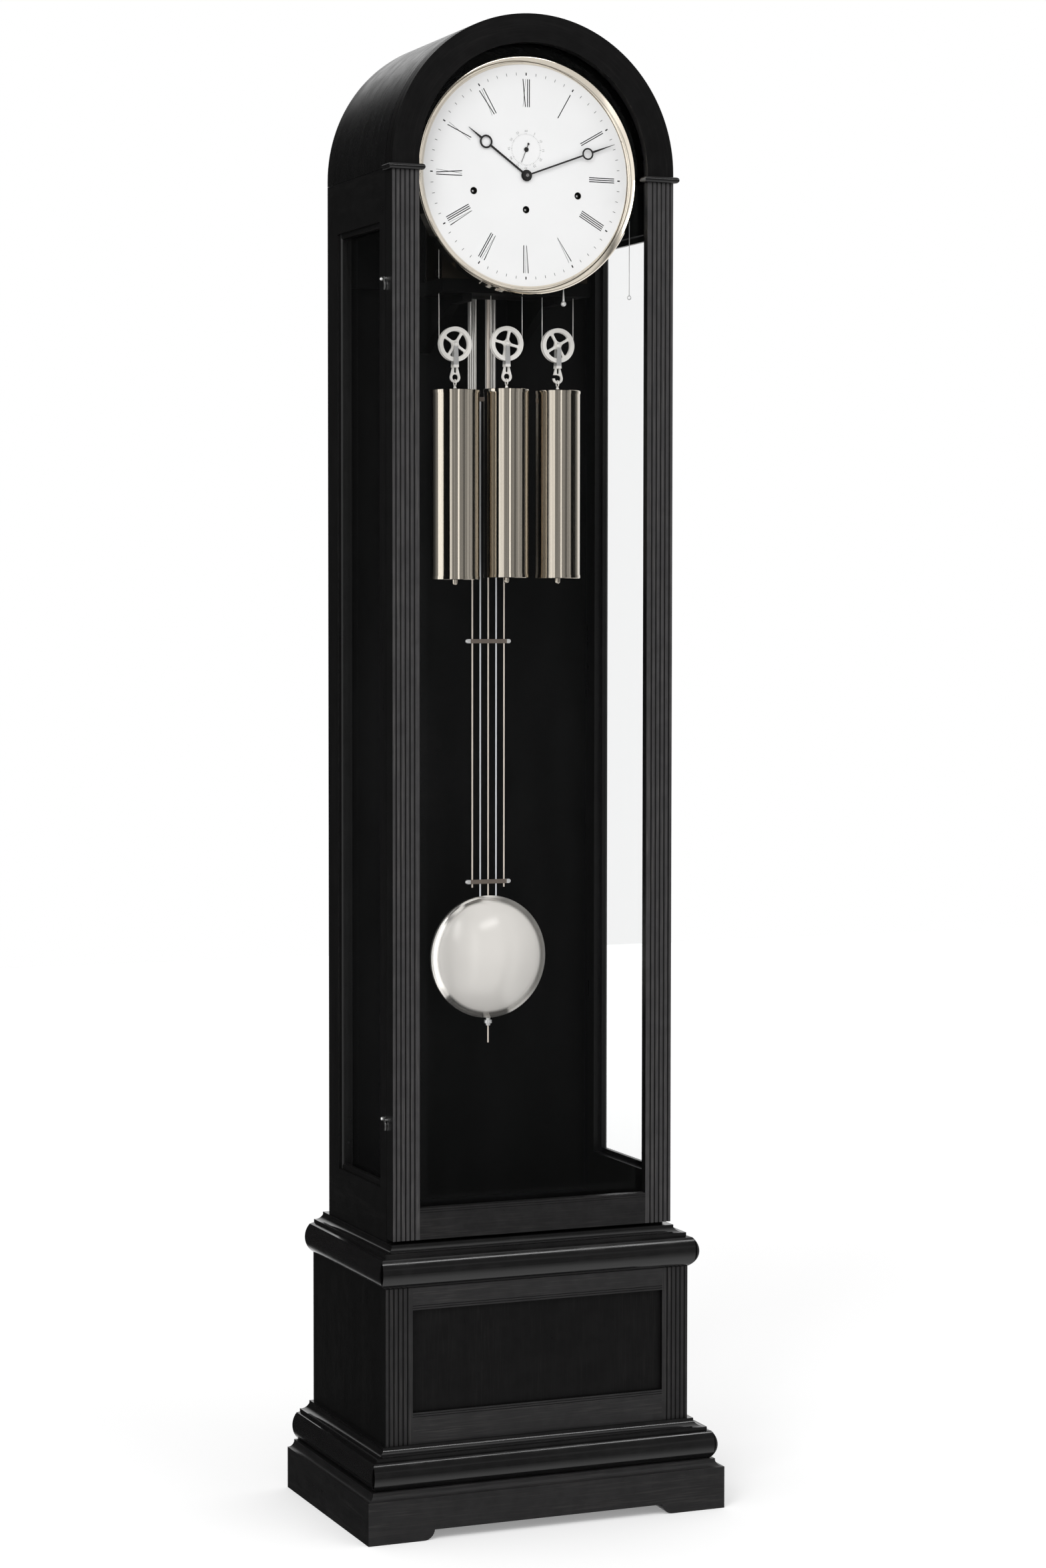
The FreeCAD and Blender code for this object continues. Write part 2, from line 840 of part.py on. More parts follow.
def back_board():
    """Back of the trunk with a rounded head that fits the roof."""
    radius = trunk_half - roof_thickness
    seam = trunk_top + roof_seam_gap
    start = point(-inner_half, back_board_front, trunk_bottom)
    face = outline([
        start,
        point(inner_half, back_board_front, trunk_bottom),
        point(inner_half, back_board_front, seam),
        point(radius, back_board_front, seam),
        point(radius, back_board_front, arch_height),
        (point(0, back_board_front, arch_height + radius), point(-radius, back_board_front, arch_height)),
        point(-radius, back_board_front, seam),
        point(-inner_half, back_board_front, seam),
    ])
    return face.extrude(point(0, back_board_thickness, 0))


def arch_band(outer, inner, bottom, front, rear):
    """Upright-sided half ring: round above the arch's centre, straight below it."""
    face = outline([
        point(-outer, front, bottom),
        point(-outer, front, arch_height),
        (point(0, front, arch_height + outer), point(outer, front, arch_height)),
        point(outer, front, bottom),
        point(inner, front, bottom),
        point(inner, front, arch_height),
        (point(0, front, arch_height + inner), point(-inner, front, arch_height)),
        point(-inner, front, bottom),
    ])
    return face.extrude(point(0, rear - front, 0))


def roof_shell():
    """Bent roof from the door's joint to the back."""
    bottom = trunk_top + roof_seam_gap
    return arch_band(trunk_half, trunk_half - roof_thickness, bottom, carcass_front, trunk_rear)


# Front door

def door_stile():
    """Left fluted stile with a rebate for the glass."""
    outer = -trunk_half
    inner = -opening_half
    rebate = inner - glass_rebate
    corners = [point(outer, door_rear, 0), point(outer, trunk_front, 0)]
    corners += flute_steps(outer, trunk_front, 1)
    corners += [
        point(inner, trunk_front, 0),
        point(inner, glass_front, 0),
        point(rebate, glass_front, 0),
        point(rebate, door_rear, 0),
    ]
    stile = outline(corners).extrude(point(0, 0, spring_height - door_bottom))
    stile.translate(point(0, 0, door_bottom))
    return stile


def door_arch():
    """Arched head with the same rebate, and a fine line round its edge."""
    body = arch_band(trunk_half, opening_half, spring_height, trunk_front, door_rear)
    rebate = arch_band(opening_half + glass_rebate, opening_half - overrun, spring_height - overrun,
                       glass_front, door_rear + overrun)
    line_y = trunk_front + arch_line_setback
    line = arch_band(trunk_half + overrun, trunk_half - arch_line_depth, spring_height - overrun,
                     line_y, line_y + arch_line_width)
    return body.cut(rebate).cut(line)


def door_rail():
    """Bottom rail with a beaded upper edge and the rebate for the glass."""
    rail = block((-opening_half, opening_half), (trunk_front, door_rear), (door_bottom, rail_top))
    rebate = block((-opening_half, opening_half), (glass_front, door_rear + overrun),
                   (rail_top - glass_rebate, rail_top + overrun))
    grooves = bead_grooves(rail_top, -1, opening_half, trunk_front)
    return rail.cut(rebate).cut(grooves)


def glass_outline(inset, y):
    """Wire round the door glass, drawn in by an inset."""
    half = opening_half + glass_rebate - glass_edge_clearance - inset
    bottom = rail_top - glass_rebate + glass_edge_clearance + inset
    left_low = point(-half, y, bottom)
    right_low = point(half, y, bottom)
    right_high = point(half, y, arch_height)
    left_high = point(-half, y, arch_height)
    edges = [
        Part.LineSegment(left_low, right_low).toShape(),
        Part.LineSegment(right_low, right_high).toShape(),
        Part.Arc(right_high, point(0, y, arch_height + half), left_high).toShape(),
        Part.LineSegment(left_high, left_low).toShape(),
    ]
    return Part.Wire(edges)


def door_glass():
    """Arched pane with a wide bevel round its front."""
    edge_y = glass_front + glass_bevel_depth
    edge = glass_outline(0, edge_y)
    slab = Part.Face(edge).extrude(point(0, glass_rear - edge_y, 0))
    bevel = Part.makeLoft([edge, glass_outline(glass_bevel_width, glass_front)], True, True)
    return slab.fuse(bevel).removeSplitter()


def door_cap():
    """Half-round moulding across the left pilaster, returned along both of its sides."""
    outer = -trunk_half
    inner = -opening_half
    low = spring_height - cap_height / 2
    high = spring_height + cap_height / 2
    bar = block((outer - cap_projection, inner + cap_projection), (trunk_front - cap_projection, door_rear),
                (low, high))
    edges = []
    for edge in bar.Edges:
        centre = edge.CenterOfMass
        level = abs(edge.BoundBox.ZLength) < running_clearance
        at_rear = abs(centre.y - door_rear) < running_clearance
        if level and not at_rear:
            edges.append(edge)
    bar = bar.makeFillet(cap_height * cap_round_share, edges)
    stile_space = block((outer, inner), (trunk_front, door_rear + overrun), (low - overrun, high + overrun))
    glass_space = block((inner - overrun, inner + cap_projection + overrun),
                        (glass_front - rest_clearance, door_rear + overrun), (low - overrun, high + overrun))
    return bar.cut(stile_space).cut(glass_space)


def hinge_heights():
    """Lower end of each hinge, spread evenly up the door."""
    low = door_bottom + hinge_end_margin
    high = spring_height - hinge_end_margin - hinge_height
    step = (high - low) / (hinge_count - 1)
    return [low + index * step for index in range(hinge_count)]


def leaf_plate(bottom, y_range):
    inner_x = trunk_half - hinge_leaf_width
    edge_x = hinge_axis_x - hinge_knuckle_radius - rest_clearance
    return block((inner_x, edge_x), y_range, (bottom, bottom + hinge_height))


def knuckle(bottom, height, y_range):
    """One barrel of a hinge with the tab that joins it to its leaf."""
    barrel = bar_up(hinge_axis_x, hinge_axis_y, bottom, bottom + height, hinge_knuckle_radius)
    tab_x = (hinge_axis_x - hinge_knuckle_radius - rest_clearance, hinge_axis_x)
    return barrel.fuse(block(tab_x, y_range, (bottom, bottom + height)))


def make_hinges():
    third = hinge_height / 3
    case_y = (carcass_front - hinge_leaf_proud, carcass_front - hinge_leaf_proud + hinge_leaf_thickness)
    door_y = (door_rear + hinge_leaf_proud - hinge_leaf_thickness, door_rear + hinge_leaf_proud)
    case_leaves = []
    door_leaves = []
    for bottom in hinge_heights():
        pin = bar_up(hinge_axis_x, hinge_axis_y, bottom, bottom + hinge_height, hinge_pin_radius)
        low = knuckle(bottom, third - hinge_segment_gap, case_y)
        high = knuckle(bottom + 2 * third + hinge_segment_gap, third - hinge_segment_gap, case_y)
        case_leaves.append(leaf_plate(bottom, case_y).fuse([low, high, pin]).removeSplitter())
        middle = knuckle(bottom + third, third, door_y)
        bore = bar_up(hinge_axis_x, hinge_axis_y, bottom, bottom + hinge_height,
                      hinge_pin_radius + running_clearance)
        door_leaves.append(leaf_plate(bottom, door_y).fuse(middle).removeSplitter().cut(bore))
    save("case_hinge_leaves", case_leaves)
    save("door_hinge_leaves", door_leaves)
    return case_leaves, door_leaves


def leaf_mortises(y_range):
    """Shallow beds for the hinge leaves."""
    return Part.makeCompound([
        block((trunk_half - hinge_leaf_width, trunk_half + overrun), y_range, (bottom, bottom + hinge_height))
        for bottom in hinge_heights()])


def make_door():
    left = door_stile()
    bed = (door_rear + hinge_leaf_proud - hinge_leaf_thickness, door_rear + overrun)
    right = mirrored(left).cut(leaf_mortises(bed))
    save("door_stiles", [left, right])
    save("door_rail", door_rail())
    save("door_arch", door_arch())
    save("door_glass", door_glass())
    cap = door_cap()
    save("door_caps", [cap, mirrored(cap)])


def side_frame_with_beds():
    """Right side frame with the hinge leaves let into its front stile."""
    bed = (carcass_front - overrun, carcass_front - hinge_leaf_proud + hinge_leaf_thickness)
    boards = [mirrored(board) for board in side_frame()]
    boards[0] = boards[0].cut(leaf_mortises(bed))
    return boards


# Side hooks

def hook_body(height):
    """Curved hook hanging from its pin on the left side, its nose turned down."""
    centre = point(0, 0, 0)
    half = hook_bar_width / 2
    span = hook_reach
    radius = (span * span / 4 + hook_rise * hook_rise) / (2 * hook_rise)
    middle_z = hook_rise - radius

    def on_arc(shift, share):
        half_turn = math.asin(span / 2 / radius)
        angle = -half_turn + 2 * half_turn * share
        reach = radius + shift
        return point(0, -(span / 2 + reach * math.sin(angle)), middle_z + reach * math.cos(angle))

    body = outline([
        on_arc(half, 0),
        (on_arc(half, 0.5), on_arc(half, 1)),
        on_arc(-half, 1),
        (on_arc(-half, 0.5), on_arc(-half, 0)),
    ]).extrude(point(-hook_thickness, 0, 0))
    tip = round_bar(on_arc(0, 1), on_arc(0, 1) + point(-hook_thickness, 0, 0), half)
    eye = round_bar(centre, point(-hook_thickness, 0, 0), hook_eye_radius)
    bore = round_bar(point(overrun, 0, 0), point(-hook_thickness - overrun, 0, 0),
                     hook_pin_radius + running_clearance)
    hook = body.fuse([tip, eye]).removeSplitter().cut(bore)
    hook.rotate(centre, along_x, hook_hang_degrees)
    hook.translate(point(-trunk_half - hook_washer_thickness - hook_side_gap, hook_y, height))
    return hook


def hook_pivot(height):
    """Pin with a washer under the hook and a domed head over it."""
    face = point(-trunk_half, hook_y, height)
    washer_end = face - point(hook_washer_thickness, 0, 0)
    head_start = washer_end - point(hook_thickness + 2 * hook_side_gap, 0, 0)
    washer = round_bar(face, washer_end, hook_washer_radius)
    shank = round_bar(face, head_start, hook_pin_radius)
    head = taper(head_start, head_start - point(hook_head_height, 0, 0),
                 hook_head_radius, hook_head_radius / 2)
    return washer.fuse([shank, head]).removeSplitter()


def keeper(height):
    """Headed stud on the door's edge."""
    face = point(-trunk_half, keeper_y, height)
    reach = hook_washer_thickness + hook_thickness + 2 * hook_side_gap + rest_clearance
    head_start = face - point(reach, 0, 0)
    shank = round_bar(face, head_start, keeper_radius)
    head = round_bar(head_start, head_start - point(keeper_head_thickness, 0, 0), keeper_head_radius)
    return shank.fuse(head).removeSplitter()


def make_hooks():
    heights = (hook_lower_height, hook_upper_height)
    save("hook_lower", hook_body(hook_lower_height))
    save("hook_upper", hook_body(hook_upper_height))
    save("hook_pivots", [hook_pivot(height) for height in heights])
    save("hook_keepers", [keeper(height) for height in heights])


# Dial, bezel and hands

def make_dial():
    disc = bar_back(0, dial_height, dial_front, dial_rear, dial_radius)
    holes = [
        (0, dial_height, hour_pipe_radius + dial_pipe_clearance),
        (0, seconds_height, seconds_hole_radius),
    ]
    for train in trains:
        holes.append((train[1], dial_height - train[2], winding_hole_radius))
    for x, z, radius in holes:
        hole = bar_back(x, z, dial_front - overrun, dial_rear + overrun, radius)
        disc = disc.cut(hole)
    save("dial", disc)
    front = dial_front - bezel_front_rise
    rear = front + bezel_depth
    inner = bezel_radius - bezel_wall
    nose = bezel_radius - bezel_nose_width
    profile = [
        (bezel_radius, rear),
        (bezel_radius, front + bezel_nose_round),
        (bezel_radius - bezel_nose_round, front),
        (nose, front),
        (dial_opening_radius, dial_front - bezel_wall / 2),
        (dial_opening_radius, dial_front),
        (inner, dial_front),
        (inner, rear),
    ]
    save("bezel", turned_y(profile, 0, dial_height))


def dial_feet():
    """Four posts that hold the dial off the front plate."""
    feet = []
    for x in (-dial_foot_x, dial_foot_x):
        for z in (dial_height - dial_foot_z, dial_height + dial_foot_z):
            feet.append(bar_back(x, z, dial_rear, front_plate_front, dial_foot_radius))
    return feet


def hand_blade(rear, ring_place, ring_radius, ring_hole, length, arm_width, boss_radius):
    """Hand pointing up: boss, straight arm, open ring and needle."""
    front = rear - hand_thickness
    z = dial_height
    back = point(0, hand_thickness, 0)
    arm_half = arm_width / 2
    tip_half = hand_tip_width / 2
    neck_half = hand_neck_width / 2
    ring_mid = (ring_radius + ring_hole) / 2
    arm = outline([
        point(-arm_half, front, z),
        point(arm_half, front, z),
        point(arm_half, front, z + ring_place - ring_mid),
        point(-arm_half, front, z + ring_place - ring_mid),
    ]).extrude(back)
    needle = outline([
        point(-neck_half, front, z + ring_place + ring_mid),
        point(neck_half, front, z + ring_place + ring_mid),
        point(tip_half, front, z + length),
        point(-tip_half, front, z + length),
    ]).extrude(back)
    ring_z = z + ring_place
    ring = bar_back(0, ring_z, front, rear, ring_radius)
    hole = bar_back(0, ring_z, front - overrun, rear + overrun, ring_hole)
    boss = bar_back(0, z, front, rear, boss_radius)
    return arm.fuse([needle, ring, boss]).cut(hole)


def make_hands():
    centre = point(0, 0, dial_height)
    hour_rear = dial_front - hour_hand_clearance
    minute_rear = dial_front - minute_hand_clearance
    hour = hand_blade(hour_rear, hour_ring_place, hour_ring_radius, hour_ring_hole,
                      hour_hand_length, hour_arm_width, hour_boss_radius)
    pipe = bar_back(0, dial_height, hour_rear - hand_thickness, front_plate_front - rest_clearance,
                    hour_pipe_radius)
    bore = bar_back(0, dial_height, hour_rear - overrun, front_plate_rear, cannon_radius + running_clearance)
    hour = hour.fuse(pipe).removeSplitter().cut(bore)
    hour.rotate(centre, along_y, hour_turn_degrees)
    save("hour_hand", hour)
    minute = hand_blade(minute_rear, minute_ring_place, minute_ring_radius, minute_ring_hole,
                        minute_hand_length, minute_arm_width, minute_boss_radius)
    front = minute_rear - hand_thickness
    cannon = bar_back(0, dial_height, front, front_plate_rear, cannon_radius)
    nut = taper(point(0, front, dial_height), point(0, front - hand_nut_height, dial_height),
                hand_nut_radius, cannon_radius)
    minute = minute.fuse([cannon, nut]).removeSplitter()
    minute.rotate(centre, along_y, minute_turn_degrees)
    save("minute_hand", minute)
    save("seconds_hand", seconds_hand())


def seconds_hand():
    """Small hand with a round tail weight on its own arbor."""
    rear = dial_front - seconds_hand_clearance
    front = rear - hand_thickness / 2
    z = seconds_height
    half = seconds_arm_width / 2
    tip_half = hand_tip_width / 2
    arm = outline([
        point(-half, front, z - seconds_tail_length),
        point(half, front, z - seconds_tail_length),
        point(half, front, z),
        point(tip_half, front, z + seconds_hand_length),
        point(-tip_half, front, z + seconds_hand_length),
        point(-half, front, z),
    ]).extrude(point(0, rear - front, 0))
    boss = bar_back(0, z, front, rear, seconds_boss_radius)
    tail_z = z - seconds_tail_length
    tail = bar_back(0, tail_z, front, rear, seconds_bob_radius)
    arbor = bar_back(0, z, front, front_plate_rear, seconds_arbor_radius)
    hand = arm.fuse([boss, tail, arbor]).removeSplitter()
    hand.rotate(point(0, 0, z), along_y, seconds_turn_degrees)
    return hand


# Movement

def plate_holes(y_range, drum_hole, with_hands):
    holes = [(0, pallet_height_z, pallet_arbor_radius)]
    for train in trains:
        holes.append((train[1], dial_height - train[2], drum_hole))
    if with_hands:
        holes.append((0, dial_height, cannon_radius))
        holes.append((0, seconds_height, seconds_arbor_radius))
    return Part.makeCompound([
        bar_back(x, z, y_range[0] - overrun, y_range[1] + overrun, radius + running_clearance)
        for x, z, radius in holes])


def make_movement():
    x_range = (-plate_half_width, plate_half_width)
    z_range = (seat_top, pallet_height_z + plate_top_margin)
    front_y = (front_plate_front, front_plate_rear)
    back_y = (back_plate_front, back_plate_rear)
    front = block(x_range, front_y, z_range).cut(plate_holes(front_y, drum_arbor_radius, True))
    back = block(x_range, back_y, z_range).cut(plate_holes(back_y, drum_pivot_radius, False))
    loop_guide = pull_guide(loop_pull_x, loop_pull_y, plate_half_width - guide_lap, guide_height)
    ball_guide = pull_guide(ball_pull_x, ball_pull_y, ball_pull_x - guide_width / 2, ball_guide_height)
    save("movement_plates", [front, back, loop_guide, ball_guide])
    pillars = []
    for x in (pillar_side_inset - plate_half_width, plate_half_width - pillar_side_inset):
        for z in (z_range[0] + pillar_end_inset, z_range[1] - pillar_end_inset):
            pillars.append(bar_back(x, z, front_plate_rear, back_plate_front, pillar_radius))
    save("movement_pillars", pillars + dial_feet())
    make_seat()
    save("suspension_cock", suspension_cock())
    save("crutch", crutch())


def strand_x(train):
    """Place of the strand that runs up to the drum."""
    return train[1] + train[5] * cable_path_radius


def make_seat():
    x_range = (-plate_half_width, plate_half_width)
    board = block(x_range, (seat_front, seat_rear), (seat_board_height, seat_top))
    low = seat_board_height - overrun
    high = seat_top + overrun
    for train in trains:
        x = strand_x(train)
        board = board.cut(bar_up(x, weight_y, low, high, cable_hole_radius))
    save("seat_board", board)
    front = seat_front + bracket_front_inset
    side = outline([
        point(-bracket_inner, front, seat_board_height),
        point(-bracket_inner, upper_board_front, seat_board_height),
        point(-bracket_inner, upper_board_front, seat_board_height - bracket_back_height),
        point(-bracket_inner, front + bracket_level_length, seat_board_height - bracket_front_height),
        point(-bracket_inner, front, seat_board_height - bracket_front_height),
    ]).extrude(point(-bracket_thickness, 0, 0))
    cleat = block((-bracket_inner - bracket_thickness, -bracket_inner), (seat_rear, upper_board_front),
                  (seat_board_height, seat_top))
    foot = block((-bracket_inner - bracket_thickness, -bracket_inner), (upper_board_front, back_board_front),
                 (seat_board_height - bracket_back_height, upper_board_bottom))
    bracket = side.fuse([cleat, foot]).removeSplitter()
    save("seat_brackets", [bracket, mirrored(bracket)])


def suspension_cock():
    """Forked bracket on the back plate that carries the pendulum's pin."""
    slot_half = cock_slot_width / 2
    inner = (pendulum_y - slot_half, pendulum_y + slot_half)
    rear = inner[1] + cock_ear_thickness
    half = cock_width / 2
    low = pivot_height - cock_height / 2
    high = pivot_height + cock_height / 2
    body = block((-half, half), (back_plate_rear, rear), (low, high + cock_ear_thickness))
    space = block((-half - overrun, half + overrun), inner, (low - overrun, high))
    bore = bar_back(0, pivot_height, inner[0] - cock_ear_thickness, rear + overrun,
                    spring_pin_radius + running_clearance)
    rod_y = back_plate_rear + crutch_behind_plate + crutch_hub_width / 2
    slot_y = (rod_y - crutch_rod_radius - crutch_slot_gap, rod_y + crutch_rod_radius + crutch_slot_gap)
    slot = block((-crutch_slot_half_width, crutch_slot_half_width), slot_y,
                 (low - overrun, high + cock_ear_thickness + overrun))
    return body.cut(space).cut(bore).cut(slot)


def crutch():
    """Pallet arbor with its anchor and the crutch that drives the pendulum."""
    hub_y = back_plate_rear + crutch_behind_plate
    arbor_rear = hub_y + crutch_hub_width
    z = pallet_height_z
    arbor = bar_back(0, z, front_plate_front, arbor_rear, pallet_arbor_radius)
    anchor_y = front_plate_rear + pallet_behind_plate
    anchor = outline([
        point(-pallet_half_width, anchor_y, z - pallet_height),
        point(-pallet_half_width + pallet_thickness, anchor_y, z - pallet_height),
        (point(0, anchor_y, z - pallet_thickness), point(pallet_half_width - pallet_thickness, anchor_y,
                                                         z - pallet_height)),
        point(pallet_half_width, anchor_y, z - pallet_height),
        (point(0, anchor_y, z + pallet_thickness), point(-pallet_half_width, anchor_y, z - pallet_height)),
    ]).extrude(point(0, pallet_thickness, 0))
    hub = bar_back(0, z, hub_y, arbor_rear, crutch_hub_radius)
    fork_z = pivot_height - crutch_fork_drop
    fork_top = fork_z + crutch_fork_height / 2
    rod_y = hub_y + crutch_hub_width / 2
    rod = bar_up(0, rod_y, z, fork_top - crutch_fork_width, crutch_rod_radius)
    prong_inner = leader_radius + crutch_fork_gap
    prong_outer = prong_inner + crutch_fork_width
    bridge_y = (rod_y - crutch_rod_radius, pendulum_y - leader_radius - crutch_fork_gap)
    z_range = (fork_top - crutch_fork_height, fork_top)
    bridge = block((-prong_outer, prong_outer), bridge_y, z_range)
    prongs = [
        block((sign * prong_inner, sign * prong_outer), (bridge_y[0], pendulum_y + leader_radius), z_range)
        for sign in (-1, 1)]
    return arbor.fuse([anchor, hub, rod, bridge] + prongs).removeSplitter()


# Cable drums, pulleys, weights and cables

def make_drum(train):
    name, x, drop = train[0], train[1], train[2]
    z = dial_height - drop
    front = front_plate_rear + drum_end_gap + drum_flange_thickness
    rear = back_plate_front - drum_end_gap - drum_flange_thickness
    core = bar_back(x, z, front, rear, groove_radius)
    flanges = [
        bar_back(x, z, front - drum_flange_thickness, front, drum_flange_radius),
        bar_back(x, z, rear, rear + drum_flange_thickness, drum_flange_radius),
    ]
    square_front = dial_rear + drum_square_gap
    arbor = bar_back(x, z, front_plate_front - overrun, front, drum_arbor_radius)
    pivot = bar_back(x, z, rear, back_plate_rear, drum_pivot_radius)
    half = drum_square_width / 2
    square = block((x - half, x + half), (square_front, front_plate_front - overrun), (z - half, z + half))
    save("drum_" + name, core.fuse(flanges + [arbor, pivot, square]).removeSplitter())


def pulley_windows(x, z, spoke_angle):
    """Four openings between the curved spokes, each a rounded quarter."""
    front = weight_y - pulley_rim_width
    half = pulley_spoke_width / 2
    bend = pulley_hub_fillet
    corner = pulley_corner_fillet
    reach = pulley_window_radius
    corner_far = math.sqrt((reach - corner) ** 2 - (half + corner) ** 2)
    touch = reach / (reach - corner)
    lean = math.atan2(half + corner, corner_far)
    slope = (lean - math.pi / 2) / 2

    def place(across, up):
        return point(x + across, front, z + up)

    corner_mid = (corner_far + corner * math.cos(slope), half + corner + corner * math.sin(slope))
    touching = (corner_far * touch, (half + corner) * touch)
    quarter_mid = reach * math.cos(math.pi / 4)
    hub_mid = half + bend - bend * math.cos(math.pi / 4)
    window = outline([
        place(half + bend, half),
        place(corner_far, half),
        (place(corner_mid[0], corner_mid[1]), place(touching[0], touching[1])),
        (place(quarter_mid, quarter_mid), place(touching[1], touching[0])),
        (place(corner_mid[1], corner_mid[0]), place(half, corner_far)),
        place(half, half + bend),
        (place(hub_mid, hub_mid), place(half + bend, half)),
    ]).extrude(point(0, 2 * pulley_rim_width, 0))
    windows = []
    for index in range(4):
        copy = window.copy()
        copy.rotate(point(x, weight_y, z), along_y, index * 90 - spoke_angle)
        windows.append(copy)
    return windows


def make_pulley(train):
    """Grooved wheel with four spokes."""
    name, x, z, spoke_angle = train[0], train[1], train[3], train[6]
    half = pulley_half_width
    web = pulley_web_thickness / 2
    groove = pulley_groove_width / 2
    profile = [
        (axle_radius + running_clearance, weight_y - half),
        (pulley_hub_radius, weight_y - half),
        (pulley_hub_radius, weight_y - web),
        (pulley_rim_inner_radius, weight_y - web),
        (pulley_rim_inner_radius, weight_y - half),
        (pulley_rim_radius, weight_y - half),
        (pulley_rim_radius, weight_y - groove),
        (groove_radius, weight_y - groove / 2),
        (groove_radius, weight_y + groove / 2),
        (pulley_rim_radius, weight_y + groove),
        (pulley_rim_radius, weight_y + half),
        (pulley_rim_inner_radius, weight_y + half),
        (pulley_rim_inner_radius, weight_y + web),
        (pulley_hub_radius, weight_y + web),
        (pulley_hub_radius, weight_y + half),
        (axle_radius + running_clearance, weight_y + half),
    ]
    wheel = turned_y(profile, x, z)
    line = turned_y([
        (pulley_line_radius, weight_y - half - overrun),
        (pulley_line_radius + pulley_line_width, weight_y - half - overrun),
        (pulley_line_radius + pulley_line_width, weight_y - half + pulley_line_depth),
        (pulley_line_radius, weight_y - half + pulley_line_depth),
    ], x, z)
    wheel = wheel.cut(line)
    for window in pulley_windows(x, z, spoke_angle):
        wheel = wheel.cut(window)
    save("pulley_" + name, wheel)


def stirrup(x, z):
    """Two arms from the axle to the bar under the pulley."""
    head = z + stirrup_head
    foot = z - stirrup_bar_drop - stirrup_bar_radius - link_slot_top_clearance
    half = stirrup_width / 2
    foot_half = stirrup_foot_width / 2
    arms = []
    for sign in (-1, 1):
        near = weight_y + sign * stirrup_inner
        far = weight_y + sign * stirrup_outer
        arm = outline([
            point(x - half, near, z),
            (point(x, near, head), point(x + half, near, z)),
            point(x + foot_half, near, foot),
            point(x - foot_half, near, foot),
        ]).extrude(point(0, far - near, 0))
        arms.append(arm)
    bar_z = z - stirrup_bar_drop
    bar = bar_back(x, bar_z, weight_y - stirrup_inner, weight_y + stirrup_inner, stirrup_bar_radius)
    frame = arms[0].fuse([arms[1], bar]).removeSplitter()
    bore = bar_back(x, z, weight_y - stirrup_outer - overrun, weight_y + stirrup_outer + overrun, axle_radius)
    return frame.cut(bore)


def axle(x, z):
    """Pin through the stirrup and the pulley, with a domed head at the front."""
    front = weight_y - stirrup_outer
    rear = weight_y + stirrup_outer
    shank = bar_back(x, z, front, rear, axle_radius)
    head = taper(point(x, front, z), point(x, front - axle_head_height, z),
                 axle_head_radius, axle_head_radius / 2)
    return shank.fuse(head).removeSplitter()


def link(x, z, is_open):
    """Flat slotted link that hangs on the stirrup's bar and holds the weight's ring in its eye."""
    front = weight_y - link_thickness / 2
    rear = weight_y + link_thickness / 2
    slot_top = z - stirrup_bar_drop + stirrup_bar_radius + link_slot_top_clearance
    head_z = slot_top - link_slot_width / 2
    slot_low = slot_top - link_slot_length + link_slot_width / 2
    eye_z = z - link_eye_drop
    head = bar_back(x, head_z, front, rear, link_head_radius)
    ring = bar_back(x, eye_z, front, rear, link_eye_outer_radius)
    lean = math.asin((link_eye_outer_radius - link_head_radius) / (head_z - eye_z))
    side_x = math.cos(lean)
    side_z = math.sin(lean)
    body = outline([
        point(x - link_head_radius * side_x, front, head_z + link_head_radius * side_z),
        point(x + link_head_radius * side_x, front, head_z + link_head_radius * side_z),
        point(x + link_eye_outer_radius * side_x, front, eye_z + link_eye_outer_radius * side_z),
        point(x - link_eye_outer_radius * side_x, front, eye_z + link_eye_outer_radius * side_z),
    ]).extrude(point(0, link_thickness, 0))
    plate = head.fuse([ring, body])
    half = link_slot_width / 2
    cuts = [
        bar_back(x, head_z, front - overrun, rear + overrun, half),
        bar_back(x, slot_low, front - overrun, rear + overrun, half),
        block((x - half, x + half), (front - overrun, rear + overrun), (slot_low, head_z)),
        bar_back(x, eye_z, front - overrun, rear + overrun, link_eye_radius),
    ]
    if is_open:
        gap_low = eye_z
        cuts.append(block((x - link_eye_outer_radius - overrun, x), (front - overrun, rear + overrun),
                          (gap_low, gap_low + open_hook_gap)))
    for piece in cuts:
        plate = plate.cut(piece)
    return plate.removeSplitter()


def weight_ring(x, z, top):
    """Wire ring through the link's eye, on the finial of the weight's cap."""
    ring_top = z - link_eye_drop - link_eye_radius + weight_ring_wire + weight_ring_rest
    ring_z = ring_top - weight_ring_radius
    ring = Part.makeTorus(weight_ring_radius, weight_ring_wire, point(x, weight_y, ring_z), along_x)
    neck_z = ring_z - weight_ring_radius
    finial = taper(point(x, weight_y, top), point(x, weight_y, neck_z), finial_radius, finial_neck_radius)
    return finial.fuse(ring).removeSplitter()


